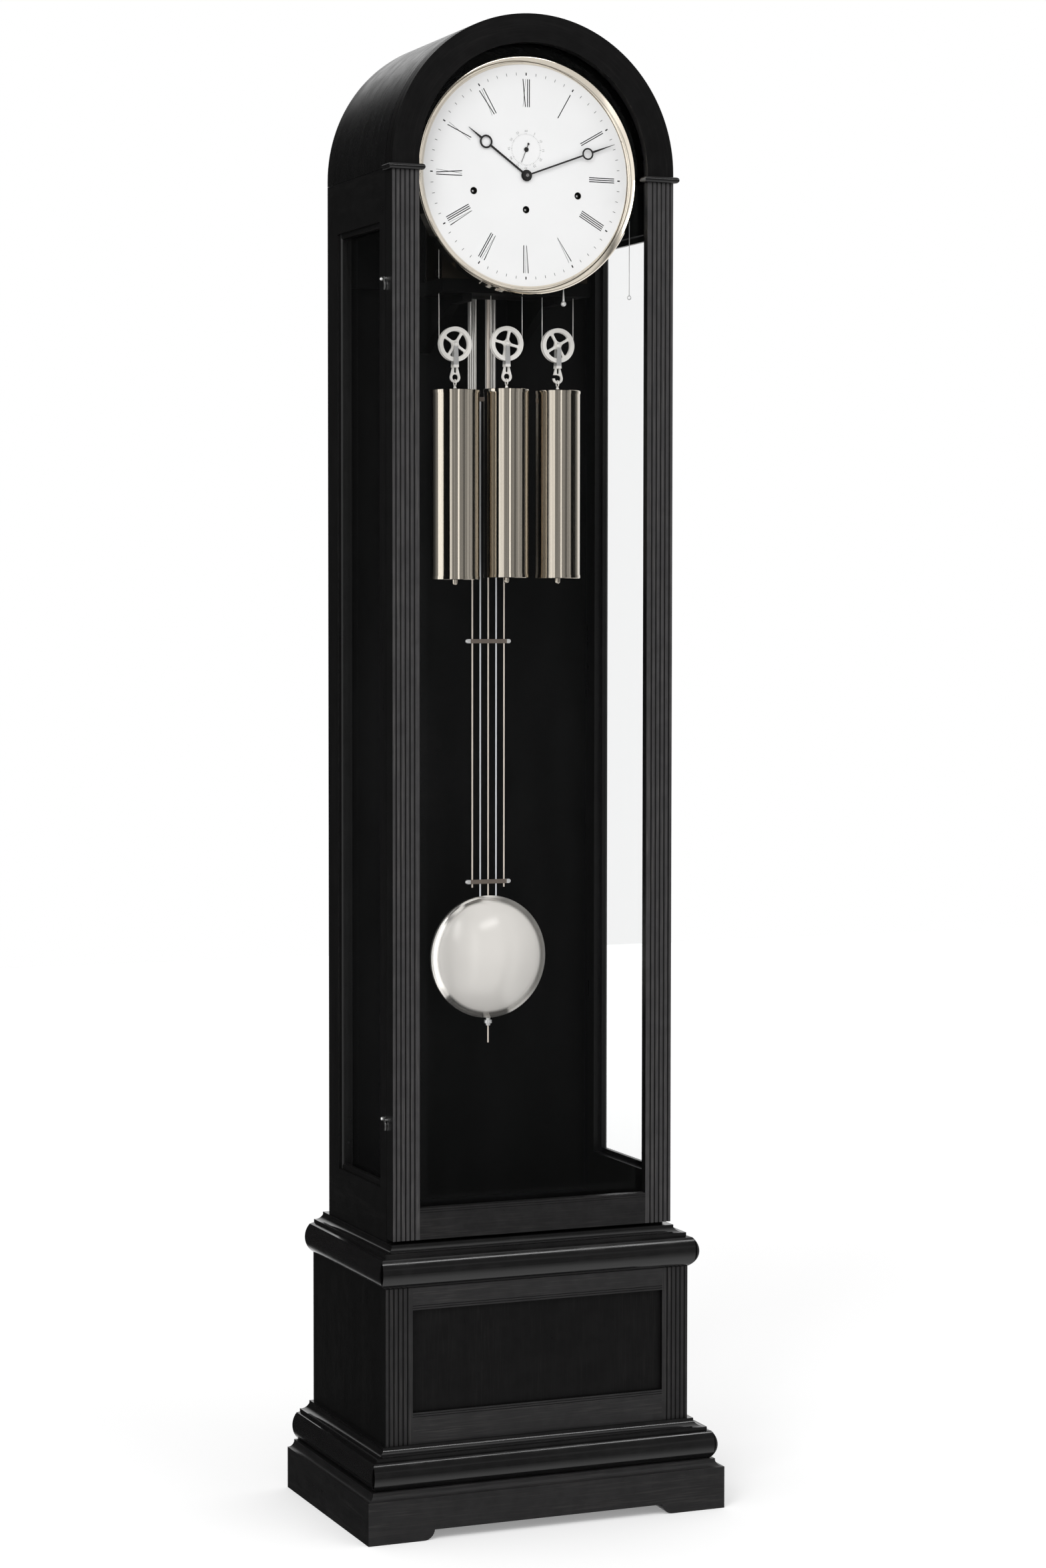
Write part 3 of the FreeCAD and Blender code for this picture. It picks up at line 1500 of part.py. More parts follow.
def make_weight(train):
    """Shell, two caps, finial with its ring, nut, link, stirrup and axle of one weight."""
    name, x, z, radius = train[0], train[1], train[3], train[4]
    top = z - weight_drop
    bottom = top - weight_length
    shell = bar_up(x, weight_y, bottom + cap_disc_height, top - cap_disc_height, radius)
    outer = radius + cap_disc_proud
    upper = turned_z([
        (0, top - cap_disc_height), (outer, top - cap_disc_height), (outer, top - cap_disc_round),
        (outer - cap_disc_round, top), (0, top)], x, weight_y)
    lower = turned_z([
        (0, bottom), (outer - cap_disc_round, bottom), (outer, bottom + cap_disc_round),
        (outer, bottom + cap_disc_height), (0, bottom + cap_disc_height)], x, weight_y)
    nut_low = bottom - weight_nut_height
    stub = bar_up(x, weight_y, nut_low, bottom, weight_nut_radius)
    nut = stub.fuse(Part.makeSphere(weight_nut_radius, point(x, weight_y, nut_low))).removeSplitter()
    is_open = name == "right"
    save("weight_" + name, [shell, upper, lower, nut, weight_ring(x, z, top), link(x, z, is_open),
                            stirrup(x, z), axle(x, z)])


def make_cable(train):
    """Cable from its drum down round the pulley and up to the seat board."""
    name, x, drop, z, sign = train[0], train[1], train[2], train[3], train[5]
    drum_z = dial_height - drop
    drum_side = x + sign * cable_path_radius
    fixed_side = x - sign * cable_path_radius
    down = bar_up(drum_side, weight_y, z, drum_z, cable_radius)
    up = bar_up(fixed_side, weight_y, z, seat_board_height, cable_radius)
    circle = Part.makeCircle(cable_radius, point(x + cable_path_radius, weight_y, z), along_z)
    bend = Part.Face(Part.Wire(circle)).revolve(point(x, weight_y, z), along_y, 180)
    save("cable_" + name, down.fuse([up, bend]).removeSplitter())
    length = (drum_z - z) + (seat_board_height - z) + math.pi * cable_path_radius
    print("cable", name, "length", round(length, 1), "bend radius", round(cable_path_radius, 2))


# Pendulum

def rod_places():
    count = pendulum_rod_side_count
    return [index * pendulum_rod_pitch for index in range(-count, count + 1)]


def rods_shape():
    """Leader and the five rods as separate solids."""
    top_bar = crossbar_heights[0] + crossbar_height / 2
    leader = bar_up(0, pendulum_y, top_bar, pivot_height - leader_top_drop, leader_radius)
    rods = []
    for x in rod_places():
        if abs(x) > pendulum_rod_pitch * 3 / 2:
            end = crossbar_heights[-1] - crossbar_height / 2 - outer_rod_end
        elif x == 0:
            end = bob_height - bob_radius - pendulum_tip_length
        else:
            reach = bob_radius - bob_rim_width
            end = bob_height + math.sqrt(reach * reach - x * x) - bob_rod_depth
        rods.append(bar_up(x, pendulum_y, end, top_bar, pendulum_rod_radius))
    return leader, rods


def make_pendulum():
    leader, rods = rods_shape()
    save("pendulum_rods", [leader] + rods)
    bars = []
    for z in crossbar_heights:
        half = crossbar_height / 2
        depth = crossbar_thickness / 2
        bar = block((-crossbar_half_width, crossbar_half_width), (pendulum_y - depth, pendulum_y + depth),
                    (z - half, z + half))
        for sign in (-1, 1):
            end = point(sign * crossbar_half_width, pendulum_y, z)
            bar = bar.fuse(Part.makeSphere(crossbar_ball_radius, end))
        for rod in rods:
            bar = bar.cut(rod)
        bars.append(bar)
    save("pendulum_crossbars", bars)
    bob = pendulum_bob()
    for rod in rods:
        bob = bob.cut(rod)
    save("pendulum_bob", bob)
    nut_top = bob_height - bob_radius - rating_gap
    nut_bottom = nut_top - rating_nut_height
    nut = bar_up(0, pendulum_y, nut_bottom, nut_top, rating_nut_radius)
    collar_low = nut_bottom - rating_collar_height
    collar = bar_up(0, pendulum_y, collar_low, nut_bottom, rating_collar_radius)
    carrier = bar_up(0, pendulum_y, nut_top, nut_top + rating_gap - rest_clearance, rating_collar_radius)
    bore = bar_up(0, pendulum_y, collar_low - overrun, nut_top + rating_gap,
                  pendulum_rod_radius + running_clearance)
    save("rating_nut", nut.fuse([collar, carrier]).removeSplitter().cut(bore))
    save("suspension_spring", suspension_spring())


def pendulum_bob():
    """Lens-shaped bob with a flat rim."""
    rim = bob_rim_thickness / 2
    middle = bob_thickness / 2
    inner = bob_radius - bob_rim_width
    rise = middle - rim
    sphere_radius = (inner * inner + rise * rise) / (2 * rise)
    front = Part.makeSphere(sphere_radius, point(0, pendulum_y - middle + sphere_radius, bob_height))
    rear = Part.makeSphere(sphere_radius, point(0, pendulum_y + middle - sphere_radius, bob_height))
    disc = bar_back(0, bob_height, pendulum_y - middle - overrun, pendulum_y + middle + overrun, inner)
    band = bar_back(0, bob_height, pendulum_y - rim, pendulum_y + rim, bob_radius)
    return disc.common(front).common(rear).fuse(band).removeSplitter()


def suspension_spring():
    """Pin, strip and lower block from which the leader hangs."""
    pin_half = cock_slot_width / 2 + cock_ear_thickness
    pin = bar_back(0, pivot_height, pendulum_y - pin_half, pendulum_y + pin_half, spring_pin_radius)
    strip_low = pivot_height - leader_top_drop + spring_block_height
    strip_half = spring_width / 2
    strip = block((-spring_thickness / 2, spring_thickness / 2),
                  (pendulum_y - strip_half, pendulum_y + strip_half), (strip_low, pivot_height))
    half = spring_block_width / 2
    depth = spring_block_thickness / 2
    low_block = block((-half, half), (pendulum_y - depth, pendulum_y + depth),
                      (strip_low - spring_block_height, strip_low))
    return pin.fuse([strip, low_block]).removeSplitter()


# Chime rods and hammers

def rod_rows():
    """Each row's place across, first rod's place, pitch and the side its hammers strike from."""
    return (
        ("left", left_row_x, pendulum_y + left_row_behind, left_row_pitch, -1),
        ("right", right_row_x, pendulum_y + right_row_behind, right_row_pitch, 1),
    )


def hammer_place(row):
    """Axis of a row's hammers."""
    x = row[1] + row[4] * (hammer_arbor_offset - abs(row[1]))
    return x, chime_block_bottom + hammer_arbor_rise


def make_chimes():
    front = pendulum_y + chime_block_behind
    body = block((-chime_block_half_width, chime_block_half_width), (front, upper_board_front),
                 (chime_block_bottom, chime_block_bottom + chime_block_height))
    rods = []
    for row in rod_rows():
        name, x, first_y, pitch, side = row
        arbor_x, arbor_z = hammer_place(row)
        last_y = first_y + (chime_rods_per_row - 1) * pitch
        ear_offset = hammer_head_radius + hammer_ear_gap
        ear_ranges = (
            (first_y - ear_offset - hammer_ear_thickness, first_y - ear_offset),
            (last_y + ear_offset, last_y + ear_offset + hammer_ear_thickness),
        )
        half = hammer_ear_width / 2
        for ear_y in ear_ranges:
            inner_x = side * (chime_block_half_width - overrun)
            ear = block((inner_x, arbor_x + side * half), ear_y, (arbor_z - half, arbor_z + half))
            bore = bar_back(arbor_x, arbor_z, ear_y[0] - overrun, ear_y[1] + overrun,
                            hammer_arbor_radius + running_clearance)
            body = body.fuse(ear).cut(bore)
        for index in range(chime_rods_per_row):
            y = first_y + index * pitch
            low = chime_block_bottom - chime_rod_length - index * chime_rod_step
            rods.append(bar_up(x, y, low, chime_block_bottom, chime_rod_radius))
        save("hammers_" + name, hammers(row, arbor_x, arbor_z, ear_ranges))
    save("chime_block", body.removeSplitter())
    save("chime_rods", rods)


def hammers(row, arbor_x, arbor_z, ear_ranges):
    """One row's hammers on their arbor, resting just off the rods."""
    name, x, first_y, pitch, side = row
    arbor = bar_back(arbor_x, arbor_z, ear_ranges[0][0], ear_ranges[1][1], hammer_arbor_radius)
    head_z = arbor_z - hammer_head_drop
    face_x = x + side * (chime_rod_radius + hammer_rest_gap)
    back_x = face_x + side * hammer_head_length
    pieces = []
    for index in range(chime_rods_per_row):
        y = first_y + index * pitch
        pieces.append(round_bar(point(face_x, y, head_z), point(back_x, y, head_z), hammer_head_radius))
        half = hammer_arm_thickness / 2
        wide = hammer_arm_width
        reach_x = back_x - side * wide
        arm = outline([
            point(arbor_x - wide / 2, y - half, arbor_z),
            point(arbor_x + wide / 2, y - half, arbor_z),
            point(max(reach_x, back_x), y - half, head_z),
            point(min(reach_x, back_x), y - half, head_z),
        ]).extrude(point(0, hammer_arm_thickness, 0))
        pieces.append(arm)
    return arbor.fuse(pieces).removeSplitter()


# Pull wires

def make_pulls():
    y = ball_pull_y
    wire = bar_up(ball_pull_x, y, ball_height, ball_pull_top, pull_wire_radius)
    ball = Part.makeSphere(ball_radius, point(ball_pull_x, y, ball_height))
    sleeve_top = ball_height + ball_sleeve_length
    sleeve = taper(point(ball_pull_x, y, ball_height), point(ball_pull_x, y, sleeve_top),
                   ball_sleeve_radius, pull_wire_radius)
    stop = bar_up(ball_pull_x, y, ball_pull_top - pull_stop_height, ball_pull_top, pull_stop_radius)
    save("pull_ball", wire.fuse([ball, sleeve, stop]).removeSplitter())
    y = loop_pull_y
    x = loop_pull_x
    loop_top = loop_height + loop_radius
    wire = bar_up(x, y, loop_top, loop_pull_top, pull_wire_radius)
    ring = Part.makeTorus(loop_radius, pull_wire_radius, point(x, y, loop_height), along_y)
    stop = bar_up(x, y, loop_pull_top - pull_stop_height, loop_pull_top, pull_stop_radius)
    save("pull_loop", wire.fuse([ring, stop]).removeSplitter())


def pull_guide(x, y, inner_x, height):
    """Flat arm on the front plate that guides a pull's wire."""
    y_range = (y - guide_width / 2, front_plate_front)
    arm = block((inner_x, x + guide_width / 2), y_range, (height, height + guide_thickness))
    bore = bar_up(x, y, height - overrun, height + guide_thickness + overrun,
                  pull_wire_radius + running_clearance)
    return arm.cut(bore)


def main():
    os.makedirs("parts", exist_ok=True)
    make_plinth()
    make_mouldings()
    make_base()
    make_trunk()
    make_door()
    make_hinges()
    make_hooks()
    make_dial()
    make_hands()
    make_movement()
    for train in trains:
        make_drum(train)
        make_pulley(train)
        make_weight(train)
        make_cable(train)
    make_pendulum()
    make_chimes()
    make_pulls()


main()
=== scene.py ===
import math

import bpy
from bpy.props import FloatProperty, FloatVectorProperty, IntProperty, PointerProperty
from bpy.types import Operator, Panel, PropertyGroup
from mathutils import Matrix, Vector


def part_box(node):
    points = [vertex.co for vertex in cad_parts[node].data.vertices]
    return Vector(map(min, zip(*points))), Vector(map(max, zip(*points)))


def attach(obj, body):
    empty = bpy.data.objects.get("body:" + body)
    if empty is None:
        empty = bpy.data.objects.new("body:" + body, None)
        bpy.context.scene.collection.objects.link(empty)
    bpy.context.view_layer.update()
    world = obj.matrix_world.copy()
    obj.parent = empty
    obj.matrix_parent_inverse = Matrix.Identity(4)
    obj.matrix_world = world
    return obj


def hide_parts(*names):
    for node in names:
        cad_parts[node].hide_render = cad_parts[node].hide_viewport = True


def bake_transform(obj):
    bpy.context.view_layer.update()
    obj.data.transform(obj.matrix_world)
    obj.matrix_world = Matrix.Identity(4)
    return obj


# Dresses an arched longcase clock: lacquered case, printed dial, bright works and twisted cables.

bl_info = {
    "name": "Arched Longcase Clock",
    "version": (1, 0, 0),
    "blender": (4, 5, 0),
    "location": "View3D > Sidebar > Clock",
    "description": "Finishes the clock's case, prints its dial, lays its cables and sets its studio",
    "category": "Object",
}

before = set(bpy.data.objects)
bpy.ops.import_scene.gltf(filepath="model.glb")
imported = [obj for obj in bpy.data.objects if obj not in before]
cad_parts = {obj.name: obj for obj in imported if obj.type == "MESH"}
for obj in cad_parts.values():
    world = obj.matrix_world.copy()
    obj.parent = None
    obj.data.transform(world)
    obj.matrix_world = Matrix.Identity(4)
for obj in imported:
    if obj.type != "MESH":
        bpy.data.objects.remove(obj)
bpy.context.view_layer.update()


def middle_of(name):
    """Middle of a node's box."""
    low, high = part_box(name)
    return (Vector(low) + Vector(high)) / 2


# Middle of the dial's front face
dial_centre = middle_of("dial")
dial_centre.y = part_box("dial")[0][1]

SIDES = ("left", "middle", "right")
SCRATCHES = 2600.0  # fine scratches in a metre of drawn metal
THINNER = -0.00004  # how far the outline of the seconds numbers moves
# near-black painted as the shade inside the winding holes
HOLE_SHADE_BLACK = (0.008, 0.007, 0.007)
# near-black steel of the arbor ends, darkened as painted shade in the winding holes
ARBOR_SHADE_STEEL = (0.045, 0.040, 0.036)
BLOCK_BLACK = (0.02, 0.02, 0.021)
GLASS_GLOSS = ((0.75, 0.78, 0.78), (0.92, 0.94, 0.94))
DOOR_TINT = (0.998, 0.998, 0.998)
SIDE_TINT = (0.996, 0.998, 0.998)


# Shader sums


class Wire:
    """One socket's value, with sums written as Python."""

    def __init__(self, board, socket):
        self.board = board
        self.socket = socket

    def sum(self, operation, *others):
        """Math node with this value first."""
        node = self.board.put("Math", {"operation": operation}, {})
        for slot, value in enumerate((self,) + others):
            self.board.feed(node.inputs[slot], value)
        return Wire(self.board, node.outputs[0])

    def turned_sum(self, operation, other):
        """Math node with this value second."""
        node = self.board.put("Math", {"operation": operation}, {0: other, 1: self})
        return Wire(self.board, node.outputs[0])

    def __add__(self, other):
        return self.sum("ADD", other)

    def __radd__(self, other):
        return self.turned_sum("ADD", other)

    def __sub__(self, other):
        return self.sum("SUBTRACT", other)

    def __rsub__(self, other):
        return self.turned_sum("SUBTRACT", other)

    def __mul__(self, other):
        return self.sum("MULTIPLY", other)

    def __rmul__(self, other):
        return self.turned_sum("MULTIPLY", other)

    def __truediv__(self, other):
        return self.sum("DIVIDE", other)

    def __rtruediv__(self, other):
        return self.turned_sum("DIVIDE", other)

    def __pow__(self, other):
        return self.sum("POWER", other)

    def __gt__(self, other):
        return self.sum("GREATER_THAN", other)

    def __lt__(self, other):
        return self.sum("LESS_THAN", other)

    def __abs__(self):
        return self.sum("ABSOLUTE")

    def angle_to(self, other):
        """Angle whose tangent is this value over the other."""
        return self.sum("ARCTAN2", other)

    def ramp(self, low, high, start=0.0, end=1.0):
        """Smooth step from start to end as this value goes from low to high."""
        node = self.board.put(
            "MapRange",
            {"interpolation_type": "SMOOTHSTEP"},
            {"Value": self, "From Min": low, "From Max": high, "To Min": start, "To Max": end},
        )
        return Wire(self.board, node.outputs["Result"])


class Board:
    """Nodes of one finish, or of the surroundings."""

    def __init__(self, owner):
        owner.use_nodes = True
        self.owner = owner
        self.tree = owner.node_tree
        self.tree.nodes.clear()
        self.places = None

    def feed(self, socket, value):
        if isinstance(value, Wire):
            value = value.socket
        if isinstance(value, bpy.types.NodeSocket):
            self.tree.links.new(value, socket)
        else:
            socket.default_value = value

    def put(self, kind, settings, sockets):
        """Add one node: its settings are set first, then the values or links of its sockets."""
        node = self.tree.nodes.new("ShaderNode" + kind)
        for key, value in settings.items():
            setattr(node, key, value)
        for key, value in sockets.items():
            self.feed(node.inputs[key], value)
        return node

    def place(self):
        """Object coordinates as three values, in metres."""
        if self.places is None:
            spot = self.put("TexCoord", {}, {}).outputs["Object"]
            parts = self.put("SeparateXYZ", {}, {"Vector": spot}).outputs
            self.places = tuple(Wire(self, part) for part in parts)
        return self.places

    def vector(self, x, y, z):
        return Wire(self, self.put("CombineXYZ", {}, {"X": x, "Y": y, "Z": z}).outputs["Vector"])

    def noise(self, spot, scale, detail, roughness):
        node = self.put(
            "TexNoise",
            {"noise_dimensions": "3D"},
            {"Vector": spot, "Scale": scale, "Detail": detail, "Roughness": roughness},
        )
        return Wire(self, node.outputs["Fac"])

    def cloud(self, scale, detail, roughness):
        """Noise on the object's own coordinates."""
        return self.noise(self.vector(*self.place()), scale, detail, roughness)

    def mix(self, share, first, second):
        """Colour between two colours."""
        node = self.put("Mix", {"data_type": "RGBA"}, {"Factor": share})
        self.feed(node.inputs[6], first)
        self.feed(node.inputs[7], second)
        return Wire(self, node.outputs[2])

    def uneven(self, share, shade, factor):
        """A shade that turns to itself times a factor where a cloud is thick."""
        return self.mix(share.ramp(0.3, 0.75), paint(shade), paint(shade, factor))

    def bump(self, height, strength, distance):
        node = self.put("Bump", {}, {"Height": height, "Strength": strength, "Distance": distance})
        return Wire(self, node.outputs["Normal"])

    def close(self, shader):
        end = self.put("OutputMaterial", {}, {})
        self.feed(end.inputs["Surface"], shader)
        return self.owner

    def principled(self, sockets):
        node = self.put("BsdfPrincipled", {}, sockets)
        return self.close(node.outputs["BSDF"])


def finish_board(name):
    """A new material's board."""
    return Board(bpy.data.materials.new(name))


def paint(shade, factor=1.0):
    """A shader colour, made darker or lighter by a factor."""
    return (shade[0] * factor, shade[1] * factor, shade[2] * factor, 1.0)


# Sizes and colours that a user would change


def colour(name, text, shade):
    """Property that holds a colour."""
    return FloatVectorProperty(
        name=name, description=text, default=shade, subtype="COLOR", size=3, min=0.0, max=1.0)


def metres(name, text, least, most, usual):
    """Property that holds a length."""
    return FloatProperty(name=name, description=text, unit="LENGTH", min=least, max=most, default=usual)


def amount(name, text, least, most, usual):
    """Property that holds a plain number, or a share where the most is one."""
    kind = "FACTOR" if most == 1.0 else "NONE"
    return FloatProperty(name=name, description=text, subtype=kind, min=least, max=most, default=usual)


class CLOCK_PG_case(PropertyGroup):
    """Lacquer and lining of the case."""

    lacquer: colour("Lacquer", "Colour of the black lacquer", (0.0062, 0.0060, 0.0062))
    grain: colour("Grain", "Colour of the grain that shows through", (0.0125, 0.0118, 0.0115))
    sheen: amount("Roughness", "Roughness of the lacquer", 0.0, 1.0, 0.27)
    pore_pitch: metres("Pore pitch", "Distance across the grain between pores", 0.0002, 0.02, 0.0016)
    pore_length: metres("Pore length", "Length of a pore along the grain", 0.001, 1.0, 0.055)
    lining: colour("Lining", "Colour inside the case", (0.0024, 0.0024, 0.0025))


class CLOCK_PG_metal(PropertyGroup):
    """Colours of the metal parts."""

    nickel: colour("Nickel", "Warm nickel of the weights and bezel", (0.66, 0.60, 0.51))
    bob: colour("Bob", "Pale satin plate of the bob", (0.95, 0.918, 0.87))
    silver: colour("Silver", "Cool plate of the hooks and small fittings", (0.80, 0.80, 0.79))
    pulley: colour("Pulleys", "Bright plate of the pulleys, chime rods and cables", (0.93, 0.91, 0.87))
    steel: colour("Steel", "Steel of the hammers and of the nut that holds the hands", (0.62, 0.61, 0.60))
    brass: colour("Brass", "Drums of the movement", (0.76, 0.55, 0.26))
    # near-black: painted shade on the movement's plates, which sit in shade behind the dial
    plate: colour("Plates", "Darkened plates of the movement", (0.030, 0.024, 0.018))
    warm: colour("Warm rods", "Brass-plated rods of the pendulum", (0.86, 0.77, 0.68))
    cool: colour("Cool rods", "Steel rods of the pendulum", (0.82, 0.84, 0.88))
    crossbar: colour("Crossbars", "Brushed bars that hold the pendulum's rods", (0.23, 0.19, 0.16))
    bezel_width: metres("Bezel width", "Width of the ring round the dial", 0.001, 0.05, 0.0109)
    shell_drop: metres("Shell drop", "Height of a pulley's axle over its weight's shell", 0.0, 0.2, 0.0614)


class CLOCK_PG_dial(PropertyGroup):
    """Sizes and colours of the dial's print."""

    enamel: colour("Enamel", "Colour of the dial", (0.87, 0.87, 0.87))
    ink: colour("Ink", "Colour of the figures", (0.012, 0.011, 0.012))
    hands: colour("Hands", "Colour of the hands", (0.010, 0.009, 0.009))
    seconds_ink: colour("Seconds ink", "Colour of the seconds ring", (0.16, 0.155, 0.155))
    hole: metres("Winding hole", "Radius of the winding holes", 0.001, 0.02, 0.0047)
    eyelet: metres("Eyelet", "Width of the bright ring round a winding hole", 0.0001, 0.01, 0.0007)
    drop: metres("Print drop", "How far the print's centre lies under the dial's", -0.01, 0.01, 0.0008)
    inner: metres("Figure foot", "Radius of the hour figures' feet", 0.02, 0.2, 0.0913)
    outer: metres("Figure head", "Radius of the hour figures' heads", 0.02, 0.2, 0.1279)
    bold: metres("Bold stroke", "Width of a bold stroke", 0.0001, 0.01, 0.00125)
    fine: metres("Fine stroke", "Width of a fine stroke", 0.0001, 0.01, 0.00042)
    spread: metres("Figure width", "Width of a V or an X between its strokes' middles", 0.001, 0.02, 0.0040)
    pitch: metres("Stroke pitch", "Distance between neighbouring strokes", 0.001, 0.02, 0.00265)
    mark_radius: metres("Mark radius", "Radius of the minute marks' middles", 0.02, 0.2, 0.1345)
    mark_length: metres("Mark length", "Length of a minute mark", 0.0005, 0.02, 0.0037)
    hour_mark_width: metres("Five-minute mark", "Width of a five-minute mark", 0.0001, 0.01, 0.0017)
    minute_mark_width: metres("Minute mark", "Width of a minute mark", 0.0001, 0.01, 0.00065)
    seconds_rise: metres(
        "Seconds rise", "Height of the seconds ring's centre over the dial's", 0.0, 0.1, 0.0344)
    seconds_radius: metres("Seconds radius", "Radius of the seconds numbers' middles", 0.005, 0.1, 0.0244)
    seconds_size: metres("Seconds size", "Size of the seconds numbers' lettering", 0.0005, 0.02, 0.0044)
    tick_radius: metres("Tick radius", "Radius of the seconds ticks' middles", 0.005, 0.1, 0.0205)
    tick_width: metres("Tick width", "Width of a seconds tick", 0.0001, 0.01, 0.00024)
    tick_length: metres("Tick length", "Length of a seconds tick", 0.0001, 0.01, 0.0020)
    bold_tick_width: metres("Bold tick", "Width of a five-second tick at its head", 0.0001, 0.01, 0.00065)
    bold_tick_foot: metres("Bold tick foot", "Width of a five-second tick at its foot", 0.0001, 0.01, 0.0003)
    ink_height: metres("Ink height", "Thickness of the print", 0.00001, 0.001, 0.00005)


class CLOCK_PG_cable(PropertyGroup):
    """Lay of the steel cables."""

    strands: IntProperty(name="Strands", description="Strands in a cable", min=3, max=9, default=6)
    lay: metres("Lay", "Length of one turn of a strand", 0.002, 0.05, 0.0085)
    strand_radius: metres("Strand radius", "Radius of one strand", 0.00005, 0.001, 0.00021)
    wrap_radius: metres(
        "Wrap radius", "Distance of a strand's middle from the cable's", 0.0001, 0.002, 0.00039)
    seat_height: metres(
        "Seat height", "Underside of the seat board, where the cables are tied",
        0.0, 3.0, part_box("seat_board")[0][2])


class CLOCK_PG_studio(PropertyGroup):
    """Camera and lights."""

    eye: FloatVectorProperty(
        name="Camera", description="Place of the camera", subtype="TRANSLATION", size=3, unit="LENGTH",
        default=(-1.7484, -4.2800, 1.21575))
    yaw: FloatProperty(name="Yaw", description="Turn of the camera to the left", default=-22.54)
    pitch: FloatProperty(name="Pitch", description="Tilt of the camera upwards", default=-2.554)
    roll: FloatProperty(name="Roll", description="Lean of the camera", default=0.053)
    lens: FloatProperty(name="Lens", description="Focal length in millimetres", default=78.22)
    rise: FloatProperty(name="Shift", description="Upward shift of the picture", default=-0.01412)
    floor: colour("Floor", "Colour of the floor", (0.88, 0.88, 0.88))
    glow: amount(
        "Floor glow", "White that only the camera adds to the floor beside the clock", 0.0, 1.0, 0.26)
    far_glow: amount("Far floor glow", "The same, where the floor meets the backdrop", 0.0, 1.0, 0.46)
    soft_light: amount("Surroundings", "Strength of the light from all around", 0.0, 5.0, 0.78)
    room: amount("Room", "Brightness of the room that gloss reflects", 0.0, 1.0, 0.34)
    key: amount("Key light", "Power of the main soft light", 0.0, 2000.0, 60.0)
    strip: amount("Strip light", "Power of the strip that draws lines on the mouldings", 0.0, 2000.0, 16.0)


# Modelling helpers


def alone():
    """Leave edit mode and select nothing."""
    if bpy.context.object is not None and bpy.context.object.mode != "OBJECT":
        bpy.ops.object.mode_set(mode="OBJECT")
    bpy.ops.object.select_all(action="DESELECT")


def take(*pieces):
    """Select only these pieces, with the first one active."""
    alone()
    for piece in pieces:
        piece.select_set(True)
    bpy.context.view_layer.objects.active = pieces[0]


def settle(piece):
    """Put a piece's place, turn and size into its mesh."""
    take(piece)
    bpy.ops.object.transform_apply(location=True, rotation=True, scale=True)


def copied(piece, name, place):
    """Copy with its own mesh, set by a matrix."""
    twin = piece.copy()
    twin.data = piece.data.copy()
    twin.name = name
    bpy.context.collection.objects.link(twin)
    twin.matrix_world = place
    settle(twin)
    return twin


def close_up():
    """Turn all faces outwards and leave edit mode."""
    bpy.ops.mesh.select_all(action="SELECT")
    bpy.ops.mesh.normals_make_consistent(inside=False)
    bpy.ops.object.mode_set(mode="OBJECT")


def joined(pieces, name):
    """Make pieces one piece, with a name."""
    take(*pieces)
    bpy.ops.object.join()
    piece = bpy.context.object
    piece.name = name
    piece.data.name = name
    return piece


def remove(piece):
    """Delete a pattern piece and its mesh once its copies are made."""
    mesh = piece.data
    bpy.data.objects.remove(piece, do_unlink=True)
    bpy.data.meshes.remove(mesh)


def pick(piece, test):
    """In edit mode, select only the corners that pass a test on their place."""
    bpy.ops.mesh.select_mode(type="VERT")
    bpy.ops.mesh.select_all(action="DESELECT")
    bpy.ops.object.mode_set(mode="OBJECT")
    for corner in piece.data.vertices:
        corner.select = test(corner.co)
    bpy.ops.object.mode_set(mode="EDIT")


def finish_piece(piece, material, body):
    """Give a new piece its finish, body and slot."""
    piece.data.materials.clear()
    piece.data.materials.append(material)
    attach(piece, body)


def from_axis(x, z, centre):
    """Distance from an axis that runs from front to back."""
    return ((x - centre[0]) * (x - centre[0]) + (z - centre[1]) * (z - centre[1])) ** 0.5


def hole_centres():
    """Middles of the three winding holes, across and up."""
    drums = [middle_of("drum_" + side) for side in SIDES]
    return [(drum.x, drum.z) for drum in drums]


def band_of(value, middle, half):
    """One where a value lies near a middle, none elsewhere."""
    return abs(value - middle).ramp(half, 1.2 * half, 1.0, 0.0)


# Finishes of the case


def grain_fields(board, along, across, depth, pitch, length):
    """Fine pores and broad figure that run along one direction."""
    fine = board.noise(board.vector(along / length, across / pitch, depth / pitch), 1.0, 2.0, 0.6)
    figure = board.vector(along / (6 * length), across / (14 * pitch), depth / (14 * pitch))
    broad = board.noise(figure, 1.0, 3.0, 0.5)
    return fine, broad


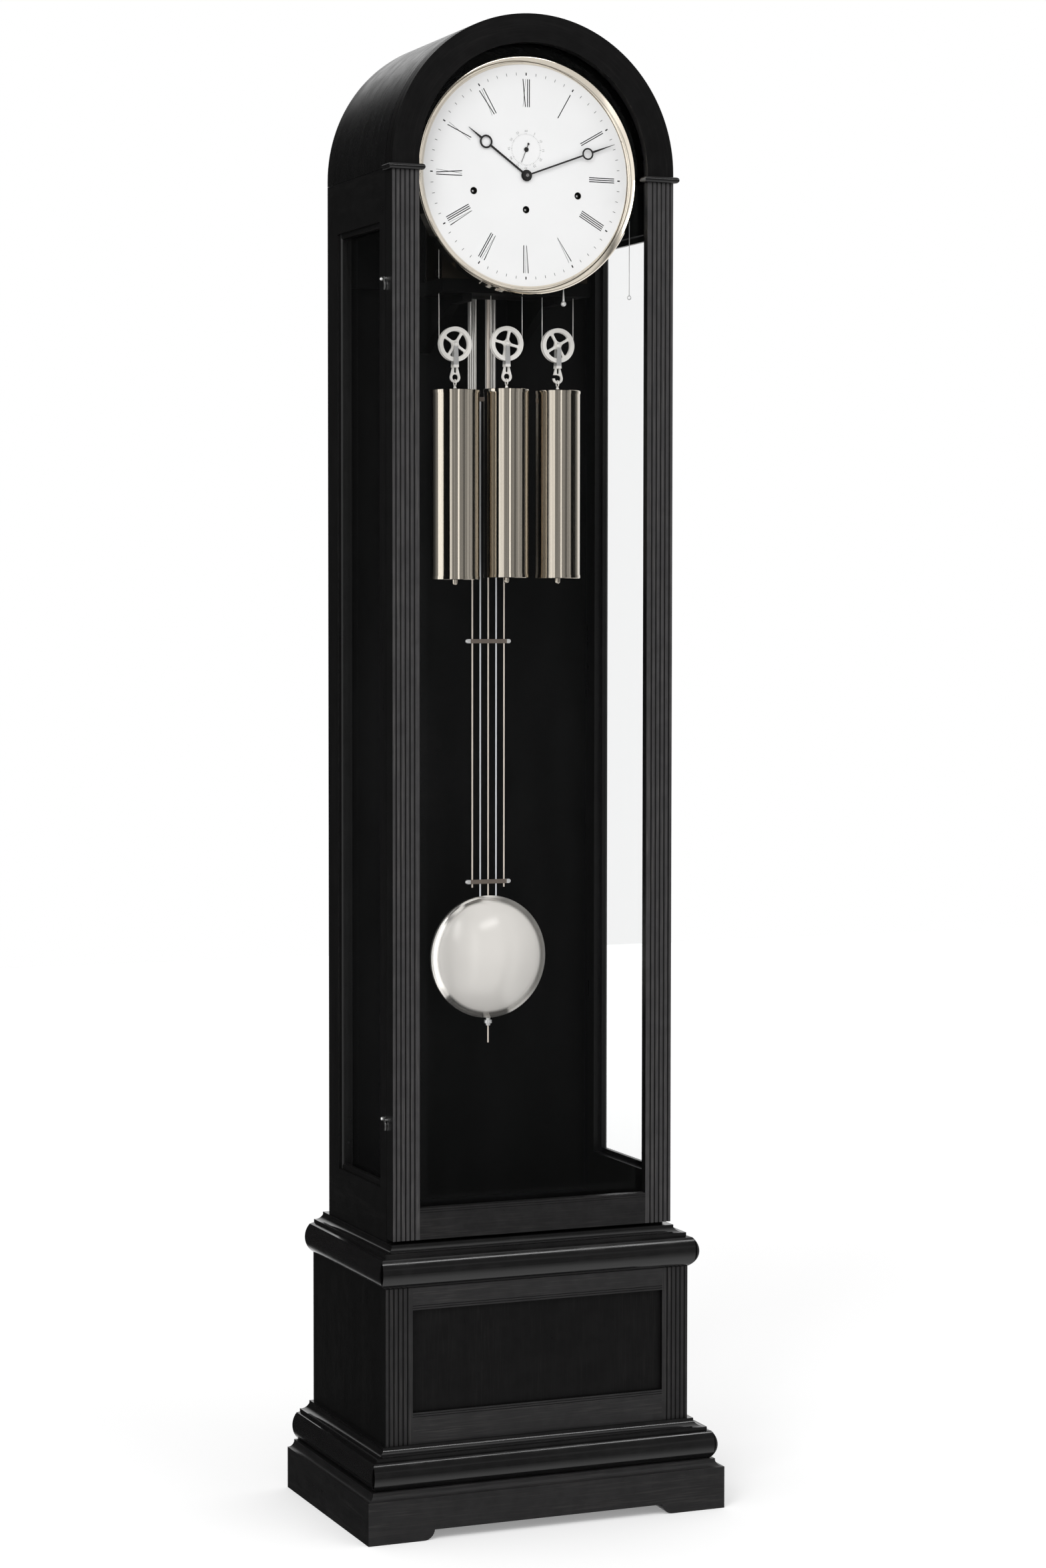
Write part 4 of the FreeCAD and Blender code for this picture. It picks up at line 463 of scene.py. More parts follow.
def lacquer(name, direction, tone, coarse, gloss, face):
    """Satin black lacquer over fine-grained wood; direction picks the values along and across the grain.

    Behind a front face, as in flutes, shade is painted in: the lacquer is darker there.
    """
    case = bpy.context.scene.clock_case
    board = finish_board(name)
    along, across, depth = direction(board)
    fine, broad = grain_fields(board, along, across, depth, case.pore_pitch, case.pore_length)
    x, y, z = board.place()
    cloud = board.cloud(5.0, 2.0, 0.5)
    streak = fine.ramp(0.46, 0.74) * (0.35 + 0.65 * broad.ramp(0.35, 0.65))
    mottle = board.cloud(46.0, 4.0, 0.6).ramp(0.38, 0.66)
    ground = board.mix(0.6 * mottle * cloud, paint(case.lacquer, tone), paint(case.lacquer, 1.7 * tone))
    shade = board.mix(streak, ground, paint(case.grain, tone))
    if face is not None:
        # painted shade: the lacquer in the flutes' grooves, behind the front face, is darkened
        painted_groove_shade = y.ramp(face + 0.0002, face + 0.0010)
        shade = board.mix(painted_groove_shade, shade, paint(case.lacquer, 0.35))
    rough = coarse * case.sheen + 0.06 * broad.ramp(0.3, 0.7) + 0.05 * mottle + 0.05 * streak
    height = 0.7 * fine + 0.3 * broad
    return board.principled({
        "Base Color": shade,
        "Roughness": rough,
        "Normal": board.bump(height, 0.22, 0.00006),
        "Specular IOR Level": gloss,
    })


def upright(board):
    """Grain that runs up; the others run across the front and from front to back."""
    x, y, z = board.place()
    return z, x, y


def crosswise(board):
    x, y, z = board.place()
    return x, z, y


def lengthwise(board):
    x, y, z = board.place()
    return y, z, x


def round_corner(board):
    """Across the front, and from front to back along the sides."""
    x, y, z = board.place()
    low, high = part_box("plinth_front")
    turned = (abs(x) - abs(y) - (high[0] + low[1])) > 0.0
    return x * (1.0 - turned) + y * turned, z, x * turned + y * (1.0 - turned)


def frame_grain(half):
    """Upright in the stiles and level in the rails between them."""
    def fields(board):
        x, y, z = board.place()
        stile = abs(x) > half
        return x * (1.0 - stile) + z * stile, z * (1.0 - stile) + x * stile, y
    return fields


def side_grain(low, high):
    """Upright in a side's stiles and level in its rails."""
    def fields(board):
        x, y, z = board.place()
        rail = (z < low) + (z > high)
        return z * (1.0 - rail) + y * rail, y * (1.0 - rail) + z * rail, x
    return fields


def arch_grain(centre_z, radius):
    """Round the arch, as in bent wood."""
    def fields(board):
        x, y, z = board.place()
        up = z - centre_z
        reach = (x * x + up * up) ** 0.5
        return x.angle_to(up) * radius, reach, y
    return fields


def lining(name, tone):
    """Flat black paint inside the case."""
    case = bpy.context.scene.clock_case
    board = finish_board(name)
    x, y, z = board.place()
    grit = board.cloud(900.0, 2.0, 0.6)
    cloud = board.noise(board.vector(x, y, z * 0.3), 14.0, 3.0, 0.55)
    shade = board.mix(cloud.ramp(0.35, 0.7), paint(case.lining, tone), paint(case.lining, 2.0 * tone))
    return board.principled({
        "Base Color": shade,
        "Roughness": 0.55 + 0.16 * cloud.ramp(0.3, 0.75),
        "Normal": board.bump(grit, 0.25, 0.00008),
        "Specular IOR Level": 0.06,
    })


def pane(name, tint):
    """Clear polished glass: see-through, with reflections that grow towards the edge of sight."""
    board = finish_board(name)
    wave = board.cloud(6.0, 1.0, 0.5)
    haze = board.cloud(40.0, 2.0, 0.5)
    normal = board.bump(wave, 0.08, 0.0004)
    glance = Wire(board, board.put("LayerWeight", {}, {"Blend": 0.5}).outputs["Facing"])
    clear = board.put("BsdfTransparent", {}, {"Color": paint(tint)})
    gloss = board.put("BsdfPrincipled", {}, {
        "Base Color": board.mix(haze, paint(GLASS_GLOSS[0]), paint(GLASS_GLOSS[1])),
        "Metallic": 1.0,
        "Roughness": 0.012 + 0.02 * haze.ramp(0.45, 0.8),
        "Normal": normal,
    })
    share = 0.010 + 0.45 * glance ** 5.0
    both = board.put("MixShader", {}, {0: share})
    board.feed(both.inputs[1], clear.outputs["BSDF"])
    board.feed(both.inputs[2], gloss.outputs["BSDF"])
    return board.close(both.outputs["Shader"])


# Finishes of the metal


def scratches(board):
    """Fine upright scratches."""
    x, y, z = board.place()
    return board.noise(board.vector(x * SCRATCHES, y * SCRATCHES, z * 26.0), 1.0, 2.0, 0.65)


def drawn_metal(name, shade, rough, strength):
    """Metal with fine scratches along its length, as drawn or brushed upright."""
    board = finish_board(name)
    lines = scratches(board)
    cloud = board.cloud(24.0, 3.0, 0.55)
    return board.principled({
        "Base Color": board.uneven(cloud, shade, 0.9),
        "Metallic": 1.0,
        "Roughness": rough + 0.07 * lines.ramp(0.35, 0.75) + 0.05 * cloud.ramp(0.4, 0.8),
        "Normal": board.bump(lines, strength, 0.00003),
    })


def satin_metal(name, shade, polish, rough):
    """Satin plate, partly matt."""
    board = finish_board(name)
    x, y, z = board.place()
    lines = board.noise(board.vector(x * 500.0, y * 500.0, z * 500.0), 1.0, 3.0, 0.6)
    cloud = board.cloud(24.0, 3.0, 0.55)
    return board.principled({
        "Base Color": board.uneven(cloud, shade, 0.94),
        "Metallic": polish,
        "Roughness": rough + 0.06 * cloud.ramp(0.35, 0.8) + 0.04 * lines,
        "Normal": board.bump(lines, 0.08, 0.00004),
    })


def weight_finish(name, metal, centre, axle):
    """Drawn nickel shell with streaks from top to bottom; brushed strap and pale link over its top."""
    board = finish_board(name)
    x, y, z = board.place()
    top = axle - metal.shell_drop
    fitting = z.ramp(top + 0.0015, top + 0.0035)
    bearing = (x - centre.x).angle_to(centre.y - y)
    lines = board.noise(board.vector(bearing * 60.0, z * 3.0, centre.x * 90.0), 1.0, 2.0, 0.65)
    bands = board.noise(board.vector(bearing * 11.0, z * 0.8, centre.x * 50.0), 1.0, 2.0, 0.6)
    cloud = board.cloud(24.0, 3.0, 0.55)
    streaks = 0.55 * bands.ramp(0.36, 0.66) + 0.45 * lines.ramp(0.42, 0.70)
    shell = board.mix(streaks, paint(metal.nickel, 1.06), paint(metal.nickel, 0.66))
    strap_foot = axle - 0.0265
    link = z.ramp(strap_foot - 0.002, strap_foot, 1.0, 0.0)
    pin_head = from_axis(x, z, (centre.x, axle)).ramp(0.0028, 0.0034, 1.0, 0.0)
    pale = (link + pin_head).sum("MINIMUM", 1.0)
    strap = board.mix(lines, paint(metal.silver, 0.92), paint(metal.silver, 0.74))
    rough = 0.045 + 0.06 * lines.ramp(0.42, 0.8) + 0.03 * cloud.ramp(0.4, 0.8)
    return board.principled({
        "Base Color": board.mix(fitting, shell, board.mix(pale, strap, paint(metal.pulley))),
        "Metallic": 1.0 - fitting * (0.30 + 0.50 * pale),
        "Roughness": rough + 0.26 * fitting,
        "Normal": board.bump(0.5 * lines + bands, 0.07, 0.00006),
    })


def painted(name, shade, rough, gloss=0.5, hole=None):
    """Even paint or enamel with a trace of orange peel; the walls of winding holes are painted black as
    shade.
    """
    board = finish_board(name)
    peel = board.cloud(260.0, 2.0, 0.5)
    cloud = board.cloud(16.0, 3.0, 0.5)
    tone = board.uneven(cloud, shade, 0.975)
    if hole is not None:
        x, y, z = board.place()
        reaches = [from_axis(x, z, centre) for centre in hole_centres()]
        # painted shade: the walls of the winding holes are painted near-black
        painted_hole_shade = sum(reach.ramp(1.01 * hole, 1.04 * hole, 1.0, 0.0) for reach in reaches)
        tone = board.mix(painted_hole_shade, tone, paint(HOLE_SHADE_BLACK))
    return board.principled({
        "Base Color": tone,
        "Roughness": rough + 0.06 * cloud.ramp(0.3, 0.8),
        "Normal": board.bump(peel, 0.12, 0.00005),
        "Specular IOR Level": gloss,
    })


def drum_finish(name, metal, centre):
    """Turned brass drum; the squared end of its arbor is dark steel, darkened further as painted shade in the
    winding hole, with a painted glint at its tip.
    """
    board = finish_board(name)
    x, y, z = board.place()
    reach = from_axis(x, z, (centre.x, centre.z))
    arbor_end = dial_centre.y + 0.020
    end = y.ramp(arbor_end, arbor_end + 0.004, 1.0, 0.0)
    # painted glint: the middle of the arbor's flat end is painted bright silver as a highlight
    painted_glint = reach.ramp(0.0007, 0.0015, 1.0, 0.0)
    rings = board.noise(board.vector(reach * 1500.0, y * 1500.0, 0.0), 1.0, 2.0, 0.6)
    square = board.mix(painted_glint, paint(ARBOR_SHADE_STEEL), paint(metal.silver))
    return board.principled({
        "Base Color": board.mix(end, board.mix(rings, paint(metal.brass), paint(metal.brass, 0.9)), square),
        "Metallic": 1.0 - 0.7 * end,
        "Roughness": 0.3 + 0.05 * rings.ramp(0.4, 0.7),
        "Normal": board.bump(rings, 0.2, 0.00003),
    })


def gridiron_finish(name, warm, cool, reach):
    """Five polished rods, in turn warm and cool; the outer pair and the middle one are warm."""
    board = finish_board(name)
    x, y, z = board.place()
    pitch = reach / 2.05  # the outer rods' middles lie two pitches out
    second = band_of(abs(x), pitch, 0.25 * pitch)
    lines = scratches(board)
    cloud = board.cloud(30.0, 3.0, 0.55)
    tone = board.mix(second, board.mix(cloud, paint(warm), paint(warm, 0.93)),
                     board.mix(cloud, paint(cool), paint(cool, 0.93)))
    return board.principled({
        "Base Color": tone,
        "Metallic": 0.30,
        "Roughness": 0.24 + 0.04 * lines.ramp(0.35, 0.75),
        "Normal": board.bump(cloud, 0.05, 0.00003),
    })


def crossbar_finish(name, shade, silver, half):
    """Brushed bar with bright ball ends."""
    board = finish_board(name)
    x, y, z = board.place()
    ends = abs(x).ramp(half, 1.02 * half)
    lines = board.noise(board.vector(x * 40.0, y * SCRATCHES, z * SCRATCHES), 1.0, 2.0, 0.65)
    return board.principled({
        "Base Color": board.mix(ends, board.mix(lines, paint(shade), paint(shade, 0.85)), paint(silver)),
        "Metallic": 0.45,
        "Roughness": 0.34 + 0.08 * lines - 0.12 * ends,
        "Normal": board.bump(lines, 0.1, 0.00003),
    })


def bob_finish(name, shade, centre_z, radius):
    """Satin disc with a gentle dome, whose edge rolls over to a polished rim."""
    board = finish_board(name)
    x, y, z = board.place()
    share = from_axis(x, z, (0.0, centre_z)) / radius
    over = (share - 0.82).sum("MAXIMUM", 0.0)
    cloud = board.cloud(9.0, 2.0, 0.5)
    spun = board.noise(board.vector(share * 70.0, 0.0, 0.0), 1.0, 2.0, 0.6)
    rim = share.ramp(0.87, 0.93)
    return board.principled({
        "Base Color": board.uneven(cloud, shade, 0.97),
        "Metallic": 0.05 + 0.80 * rim,
        "Roughness": 0.20 + 0.03 * cloud + 0.03 * spun - 0.08 * rim,
        "Normal": board.bump(1.0 - over * over - 0.26 * share * share + 0.0004 * spun, 1.0, 1.15 * radius),
    })


def bezel_finish(name, shade, inner, outer):
    """Polished ring, rounded across its width; near its inner edge a dark line is painted, as the shade of a
    fine turned groove.
    """
    board = finish_board(name)
    x, y, z = board.place()
    reach = from_axis(x, z, (dial_centre.x, dial_centre.z))
    half = (outer - inner) / 2
    over = (reach - (outer + inner) / 2) / half
    # painted shade of a turned groove near the inner edge
    line = band_of(over, -0.52, 0.07)
    spun = board.noise(board.vector(reach * 2400.0, 0.0, 0.0), 1.0, 2.0, 0.6)
    cloud = board.cloud(20.0, 3.0, 0.55)
    tone = board.uneven(cloud, shade, 0.94)
    round_over = (over * over).sum("MINIMUM", 1.2)
    return board.principled({
        "Base Color": board.mix(0.5 * line, tone, paint(shade, 0.3)),
        "Metallic": 1.0,
        "Roughness": 0.06 + 0.03 * spun + 0.03 * cloud.ramp(0.4, 0.8),
        "Normal": board.bump(1.2 - round_over + 0.004 * spun, 1.0, 0.16 * half),
    })


def hub_finish(name, shade, steel):
    """Black hand whose nut on the arbor is bare steel."""
    board = finish_board(name)
    x, y, z = board.place()
    reach = from_axis(x, z, (dial_centre.x, dial_centre.z))
    nut = reach.ramp(0.0021, 0.0024, 1.0, 0.0)
    peel = board.cloud(260.0, 2.0, 0.5)
    return board.principled({
        "Base Color": board.mix(nut, board.mix(peel, paint(shade), paint(shade, 1.2)), paint(steel, 0.7)),
        "Metallic": 0.8 * nut,
        "Roughness": 0.30 + 0.05 * peel - 0.08 * nut,
        "Normal": board.bump(peel, 0.12, 0.00005),
    })


def ink_finish(name, shade):
    """Printed ink with a slightly uneven film."""
    board = finish_board(name)
    film = board.cloud(1500.0, 2.0, 0.5)
    return board.principled({
        "Base Color": board.mix(film.ramp(0.35, 0.75), paint(shade), paint(shade, 1.6)),
        "Roughness": 0.42 + 0.12 * film,
        "Specular IOR Level": 0.25,
    })


def dress(material, *names):
    """Put a finish on nodes of the model."""
    for name in names:
        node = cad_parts[name]
        for slot in node.material_slots:
            slot.material = material


class CLOCK_OT_case(Operator):
    """Lacquer the case, line its inside and glaze the door and windows"""

    bl_idname = "clock.case"
    bl_label = "Finish the case"

    def execute(self, context):
        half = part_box("base_panel")[1][0]
        window_low, window_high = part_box("side_glasses")
        roof_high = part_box("roof_shell")[1]
        radius = roof_high[0]
        centre_z = roof_high[2] - radius
        stile_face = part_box("door_stiles")[0][1]
        frame_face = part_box("base_frame")[0][1]
        sides = side_grain(window_low[2], window_high[2])
        arch = arch_grain(centre_z, radius)
        # finish, grain, tone, roughness, gloss, front face of fluted wood, nodes; tone is partly each board's
        # own tone and partly painted light and shade: lighter on the fronts, lightest on the fluted stiles,
        # darker on the sides; behind the front face, shade is painted into the flutes
        for name, grain, tone, rough, gloss, face, nodes in (
                ("stiles", upright, 6.0, 1.3, 0.35, stile_face, ("door_stiles",)),
                ("panel", upright, 0.8, 1.0, 0.15, None, ("base_panel",)),
                ("side_boards", upright, 0.40, 1.0, 0.30, None, ("base_sides",)),
                ("level", crosswise, 2.2, 1.0, 0.20, None, ("door_rail",)),
                ("frame", frame_grain(half), 3.0, 1.2, 0.30, frame_face, ("base_frame",)),
                ("plinth", round_corner, 2.5, 1.3, 0.25, None, ("plinth_front",)),
                ("mouldings", round_corner, 0.8, 0.30, 0.55, None,
                 ("base_moulding", "waist_moulding", "door_caps")),
                ("returns", lengthwise, 1.2, 1.0, 0.40, None, ("plinth_returns",)),
                ("sides", sides, 0.50, 1.0, 0.32, None,
                 ("side_frame_left", "side_frame_right", "window_beads")),
                ("roof", arch, 0.45, 0.75, 0.42, None, ("roof_shell",)),
                ("arch", arch, 0.6, 1.0, 0.12, None, ("door_arch",))):
            dress(lacquer("lacquer_" + name, grain, tone, rough, gloss, face), *nodes)
        dress(lining("inside_black", 1.0), "base_back", "trunk_floor", "back_boards")
        # painted shade: the seat board and its brackets get the lining at a third of its tone
        dress(lining("bracket_shade_black", 0.35), "seat_board", "seat_brackets")
        dress(pane("door_pane", DOOR_TINT), "door_glass")
        dress(pane("side_pane", SIDE_TINT), "side_glasses")
        return {"FINISHED"}


class CLOCK_OT_metal(Operator):
    """Finish the weights, pendulum, pulleys, rods, hands and the movement"""

    bl_idname = "clock.metal"
    bl_label = "Finish the works"

    def execute(self, context):
        metal = context.scene.clock_metal
        dial = context.scene.clock_dial
        for side in SIDES:
            dress(weight_finish("weight_nickel_" + side, metal, middle_of("weight_" + side),
                                middle_of("pulley_" + side).z), "weight_" + side)
            dress(satin_metal("pulley_silver_" + side, metal.pulley, 0.15, 0.30), "pulley_" + side)
            dress(drum_finish("drum_" + side + "_brass", metal, middle_of("drum_" + side)), "drum_" + side)
        low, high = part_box("bezel")
        outer = (high[0] - low[0]) / 2
        bezel = bezel_finish("bezel_nickel", paint(metal.nickel, 1.22), outer - metal.bezel_width, outer)
        dress(bezel, "bezel")
        low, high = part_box("pendulum_bob")
        bob = bob_finish("bob_silver", metal.bob, middle_of("pendulum_bob").z, (high[0] - low[0]) / 2)
        dress(bob, "pendulum_bob")
        dress(satin_metal("fitting_silver", metal.silver, 0.50, 0.26),
              "suspension_spring", "crutch", "pull_ball", "pull_loop", "rating_nut")
        dress(satin_metal("chime_rod_bright", metal.pulley, 0.60, 0.16), "chime_rods")
        rods_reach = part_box("pendulum_rods")[1][0]
        dress(gridiron_finish("gridiron_rods", metal.warm, metal.cool, rods_reach), "pendulum_rods")
        bar_half = 0.79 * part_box("pendulum_crossbars")[1][0]  # the rest is the ball end
        dress(crossbar_finish("crossbar_grey", metal.crossbar, metal.silver, bar_half), "pendulum_crossbars")
        dress(drawn_metal("hook_silver", metal.silver, 0.26, 0.1),
              "hook_lower", "hook_upper", "hook_pivots", "hook_keepers", "case_hinge_leaves",
              "door_hinge_leaves")
        # painted shade: the movement's plates, pillars and cock are near-black
        dress(drawn_metal("plate_painted_shade", metal.plate, 0.4, 0.2), "movement_plates", "movement_pillars",
              "suspension_cock")
        dress(drawn_metal("hammer_steel", paint(metal.steel, 0.5), 0.4, 0.2),
              "hammers_left", "hammers_right")
        dress(painted("block_black", BLOCK_BLACK, 0.5), "chime_block")
        dress(drawn_metal("cable_bright", metal.steel, 0.3, 0.2),
              "cable_left", "cable_middle", "cable_right")
        dress(painted("dial_enamel", dial.enamel, 0.55, 0.30, dial.hole), "dial")
        dress(painted("hand_black", dial.hands, 0.30), "hour_hand", "seconds_hand")
        dress(hub_finish("hand_black_hub", dial.hands, metal.steel), "minute_hand")
        return {"FINISHED"}


# Dial print


def dial_place(angle, radius, rise=0.0):
    """Matrix that stands a flat figure on the dial at an angle clockwise from twelve."""
    dial = bpy.context.scene.clock_dial
    centre = Vector((dial_centre.x, dial_centre.y, dial_centre.z - dial.drop + rise))
    stand = Matrix.Rotation(math.radians(90.0), 4, "X")
    lean = Matrix.Rotation(-math.radians(angle), 4, "Z")
    return Matrix.Translation(centre) @ stand @ lean @ Matrix.Translation((0.0, radius, 0.0))


def stroke(name, width, low, high, foot, head, foot_width=None):
    """One printed stroke between two heights, its ends set sideways; the foot may be narrower."""
    dial = bpy.context.scene.clock_dial
    alone()
    bpy.ops.mesh.primitive_plane_add(size=1.0, location=(0.0, 0.0, 0.0))
    piece = bpy.context.object
    piece.name = name
    bpy.ops.object.mode_set(mode="EDIT")
    bpy.ops.mesh.select_all(action="SELECT")
    middle = (high + low) / 2
    bpy.ops.transform.resize(value=(width, high - low, 1.0))
    bpy.ops.transform.translate(value=(0.0, middle, 0.0))
    pick(piece, lambda co: co.y > middle)
    bpy.ops.transform.translate(value=(head, 0.0, 0.0))
    pick(piece, lambda co: co.y < middle)
    if foot_width is not None:
        bpy.ops.transform.resize(value=(foot_width / width, 1.0, 1.0))
    bpy.ops.transform.translate(value=(foot, 0.0, 0.0))
    bpy.ops.mesh.select_all(action="SELECT")
    bpy.ops.mesh.extrude_region_move(TRANSFORM_OT_translate={"value": (0.0, 0.0, dial.ink_height)})
    close_up()
    return piece


def figure_glyphs():
    """The three letters of the hour figures, each with its width."""
    dial = bpy.context.scene.clock_dial
    half = (dial.outer - dial.inner) / 2
    side = dial.spread / 2
    bar = stroke("glyph_bar", dial.bold, -half, half, 0.0, 0.0)
    cross = joined([
        stroke("glyph_cross", dial.bold, -half, half, 0.8 * side, -side),
        stroke("glyph_cross_fine", dial.fine, -half, half, -0.95 * side, side),
    ], "glyph_cross")
    wedge = joined([
        stroke("glyph_wedge", dial.bold, -half, half, 0.15 * side, -side, dial.fine),
        stroke("glyph_wedge_fine", dial.fine, -half, half, 0.25 * side, side),
    ], "glyph_wedge")
    return {"I": (bar, 0.0), "V": (wedge, dial.spread), "X": (cross, dial.spread)}


class CLOCK_OT_figures(Operator):
    """Print the twelve hour figures on the dial"""

    bl_idname = "clock.figures"
    bl_label = "Print the hour figures"

    def execute(self, context):
        dial = context.scene.clock_dial
        glyphs = figure_glyphs()
        hours = ("XII", "I", "II", "III", "IIII", "V", "VI", "VII", "VIII", "IX", "X", "XI")
        pieces = []
        for hour, word in enumerate(hours):
            width = sum(glyphs[letter][1] for letter in word) + (len(word) - 1) * dial.pitch
            reach = -width / 2
            for letter in word:
                glyph, wide = glyphs[letter]
                shift = Matrix.Translation((reach + wide / 2, 0.0, 0.0))
                place = dial_place(30.0 * hour, (dial.inner + dial.outer) / 2) @ shift
                pieces.append(copied(glyph, "figure", place))
                reach += wide + dial.pitch
        for glyph, wide in glyphs.values():
            remove(glyph)
        figures = joined(pieces, "hour_figures")
        finish_piece(figures, ink_finish("figure_ink", dial.ink), "case")
        return {"FINISHED"}


class CLOCK_OT_marks(Operator):
    """Print the sixty minute marks on the dial"""

    bl_idname = "clock.marks"
    bl_label = "Print the minute marks"

    def execute(self, context):
        dial = context.scene.clock_dial
        half = dial.mark_length / 2
        bold = stroke("mark_bold", dial.hour_mark_width, -half, half, 0.0, 0.0)
        fine = stroke("mark_fine", dial.minute_mark_width, -half, half, 0.0, 0.0)
        pieces = []
        for minute in range(60):
            mark = bold if minute % 5 == 0 else fine
            pieces.append(copied(mark, "mark", dial_place(6.0 * minute, dial.mark_radius)))
        remove(bold)
        remove(fine)
        marks = joined(pieces, "minute_marks")
        finish_piece(marks, ink_finish("mark_ink", dial.ink), "case")
        return {"FINISHED"}


class CLOCK_OT_seconds(Operator):
    """Print the seconds ring: its numbers and ticks"""

    bl_idname = "clock.seconds"
    bl_label = "Print the seconds ring"

    def execute(self, context):
        dial = context.scene.clock_dial
        pieces = []
        for number in range(5, 65, 5):
            alone()
            bpy.ops.object.text_add(location=(0.0, 0.0, 0.0))
            text = context.object
            text.data.body = str(number)
            text.data.align_x = "CENTER"
            text.data.align_y = "CENTER"
            text.data.size = dial.seconds_size
            text.data.extrude = dial.ink_height / 2
            text.data.resolution_u = 3
            text.data.offset = THINNER
            bpy.ops.object.convert(target="MESH")
            text.matrix_world = dial_place(6.0 * number, dial.seconds_radius, dial.seconds_rise + dial.drop)
            settle(text)
            pieces.append(text)
        half = dial.tick_length / 2
        tick = stroke("tick", dial.tick_width, -half, half, 0.0, 0.0)
        bold = stroke("tick_bold", dial.bold_tick_width, -1.1 * half, 1.1 * half, 0.0, 0.0,
                      dial.bold_tick_foot)
        for second in range(60):
            mark = bold if second % 5 == 0 else tick
            place = dial_place(6.0 * second, dial.tick_radius, dial.seconds_rise + dial.drop)
            pieces.append(copied(mark, "tick", place))
        remove(tick)
        remove(bold)
        ring = joined(pieces, "seconds_ring")
        finish_piece(ring, ink_finish("seconds_ink", dial.seconds_ink), "case")
        return {"FINISHED"}


class CLOCK_OT_eyelets(Operator):
    """Set a thin bright ring round each winding hole"""

    bl_idname = "clock.eyelets"
    bl_label = "Set the eyelets"

    def execute(self, context):
        dial = context.scene.clock_dial
        metal = context.scene.clock_metal
        outer = dial.hole + dial.eyelet
        crest = dial.hole + dial.eyelet / 2
        # each edge of the ring's section: how far it moves back, and its radius against the last one's
        edges = ((-0.00012, 1.0), (-0.00012, crest / outer), (0.00008, dial.hole / crest), (0.00016, 1.0))
        pieces = []
        for x, z in hole_centres():
            middle = (x, dial_centre.y, z)
            alone()
            bpy.ops.mesh.primitive_circle_add(vertices=64, radius=outer, fill_type="NOTHING", location=middle,
                                              rotation=(math.radians(90.0), 0.0, 0.0))
            ring = context.object
            settle(ring)
            bpy.ops.object.mode_set(mode="EDIT")
            bpy.ops.mesh.select_all(action="SELECT")
            for step, size in edges:
                bpy.ops.mesh.extrude_edges_move(TRANSFORM_OT_translate={"value": (0.0, step, 0.0)})
                bpy.ops.transform.resize(value=(size, 1.0, size), center_override=middle)
            close_up()
            bpy.ops.object.shade_smooth()
            pieces.append(ring)
        rings = joined(pieces, "winding_eyelets")
        finish_piece(rings, satin_metal("eyelet_silver", metal.silver, 0.2, 0.3), "case")
        return {"FINISHED"}


# Cables


def cable_route(side):
    """The cable's middle line: down from the drum, round the pulley and up to the seat board."""
    lay = bpy.context.scene.clock_cable
    low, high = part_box("cable_" + side)
    radius = (high[0] - low[0]) / 2 - (lay.strand_radius + lay.wrap_radius)
    middle = middle_of("cable_" + side)
    sign = -1.0 if side == "left" else 1.0
    return middle.x, middle.y, middle_of("pulley_" + side).z, radius, sign, high[2]


def route_point(route, travelled):
    """Place and direction at a distance along the cable from its tied end."""
    x, y, pulley_z, radius, sign, top = route
    seat = bpy.context.scene.clock_cable.seat_height
    drop = seat - pulley_z
    bend = math.pi * radius
    if travelled < drop:
        return Vector((x - sign * radius, y, seat - travelled)), Vector((0.0, 0.0, -1.0))
    if travelled < drop + bend:
        angle = (travelled - drop) / radius
        spot = Vector((x - sign * radius * math.cos(angle), y, pulley_z - radius * math.sin(angle)))
        return spot, Vector((sign * math.sin(angle), 0.0, -math.cos(angle)))
    rise = travelled - drop - bend
    return Vector((x + sign * radius, y, pulley_z + rise)), Vector((0.0, 0.0, 1.0))


def twisted_cable(side):
    """Strands laid round the route, made one mesh."""
    lay = bpy.context.scene.clock_cable
    route = cable_route(side)
    length = (lay.seat_height - route[2]) + math.pi * route[3] + (route[5] - route[2])
    steps = int(length / lay.lay * 10)
    curve = bpy.data.curves.new("cable_" + side + "_lay", "CURVE")
    curve.dimensions = "3D"
    curve.bevel_depth = lay.strand_radius
    curve.bevel_resolution = 1
    curve.use_fill_caps = True
    out = Vector((0.0, 1.0, 0.0))
    for strand in range(lay.strands):
        spline = curve.splines.new("POLY")
        spline.points.add(steps)
        start = 2 * math.pi * strand / lay.strands
        for index in range(steps + 1):
            travelled = length * index / steps
            spot, ahead = route_point(route, travelled)
            aside = ahead.cross(out)
            turn = start + 2 * math.pi * travelled / lay.lay
            place = spot + lay.wrap_radius * (math.cos(turn) * out + math.sin(turn) * aside)
            spline.points[index].co = (place.x, place.y, place.z, 1.0)
    holder = bpy.data.objects.new("twisted_cable_" + side, curve)
    bpy.context.collection.objects.link(holder)
    take(holder)
    bpy.ops.object.convert(target="MESH")
    cable = bpy.context.object
    cable.name = "twisted_cable_" + side
    bpy.ops.object.shade_smooth()
    return cable, route


class CLOCK_OT_cables(Operator):
    """Lay the three twisted cables from the seat board round the pulleys to the drums"""

    bl_idname = "clock.cables"
    bl_label = "Lay the cables"

    def execute(self, context):
        metal = context.scene.clock_metal
        bright = drawn_metal("strand_steel", metal.pulley, 0.26, 0.05)
        for side in SIDES:
            cable, route = twisted_cable(side)
            cable.data.materials.clear()
            cable.data.materials.append(bright)
            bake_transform(cable)
            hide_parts("cable_" + side)
        return {"FINISHED"}


# Studio


def ray(board, kind):
    """One for rays of a kind, none for the others."""
    return Wire(board, board.put("LightPath", {}, {}).outputs["Is " + kind + " Ray"])


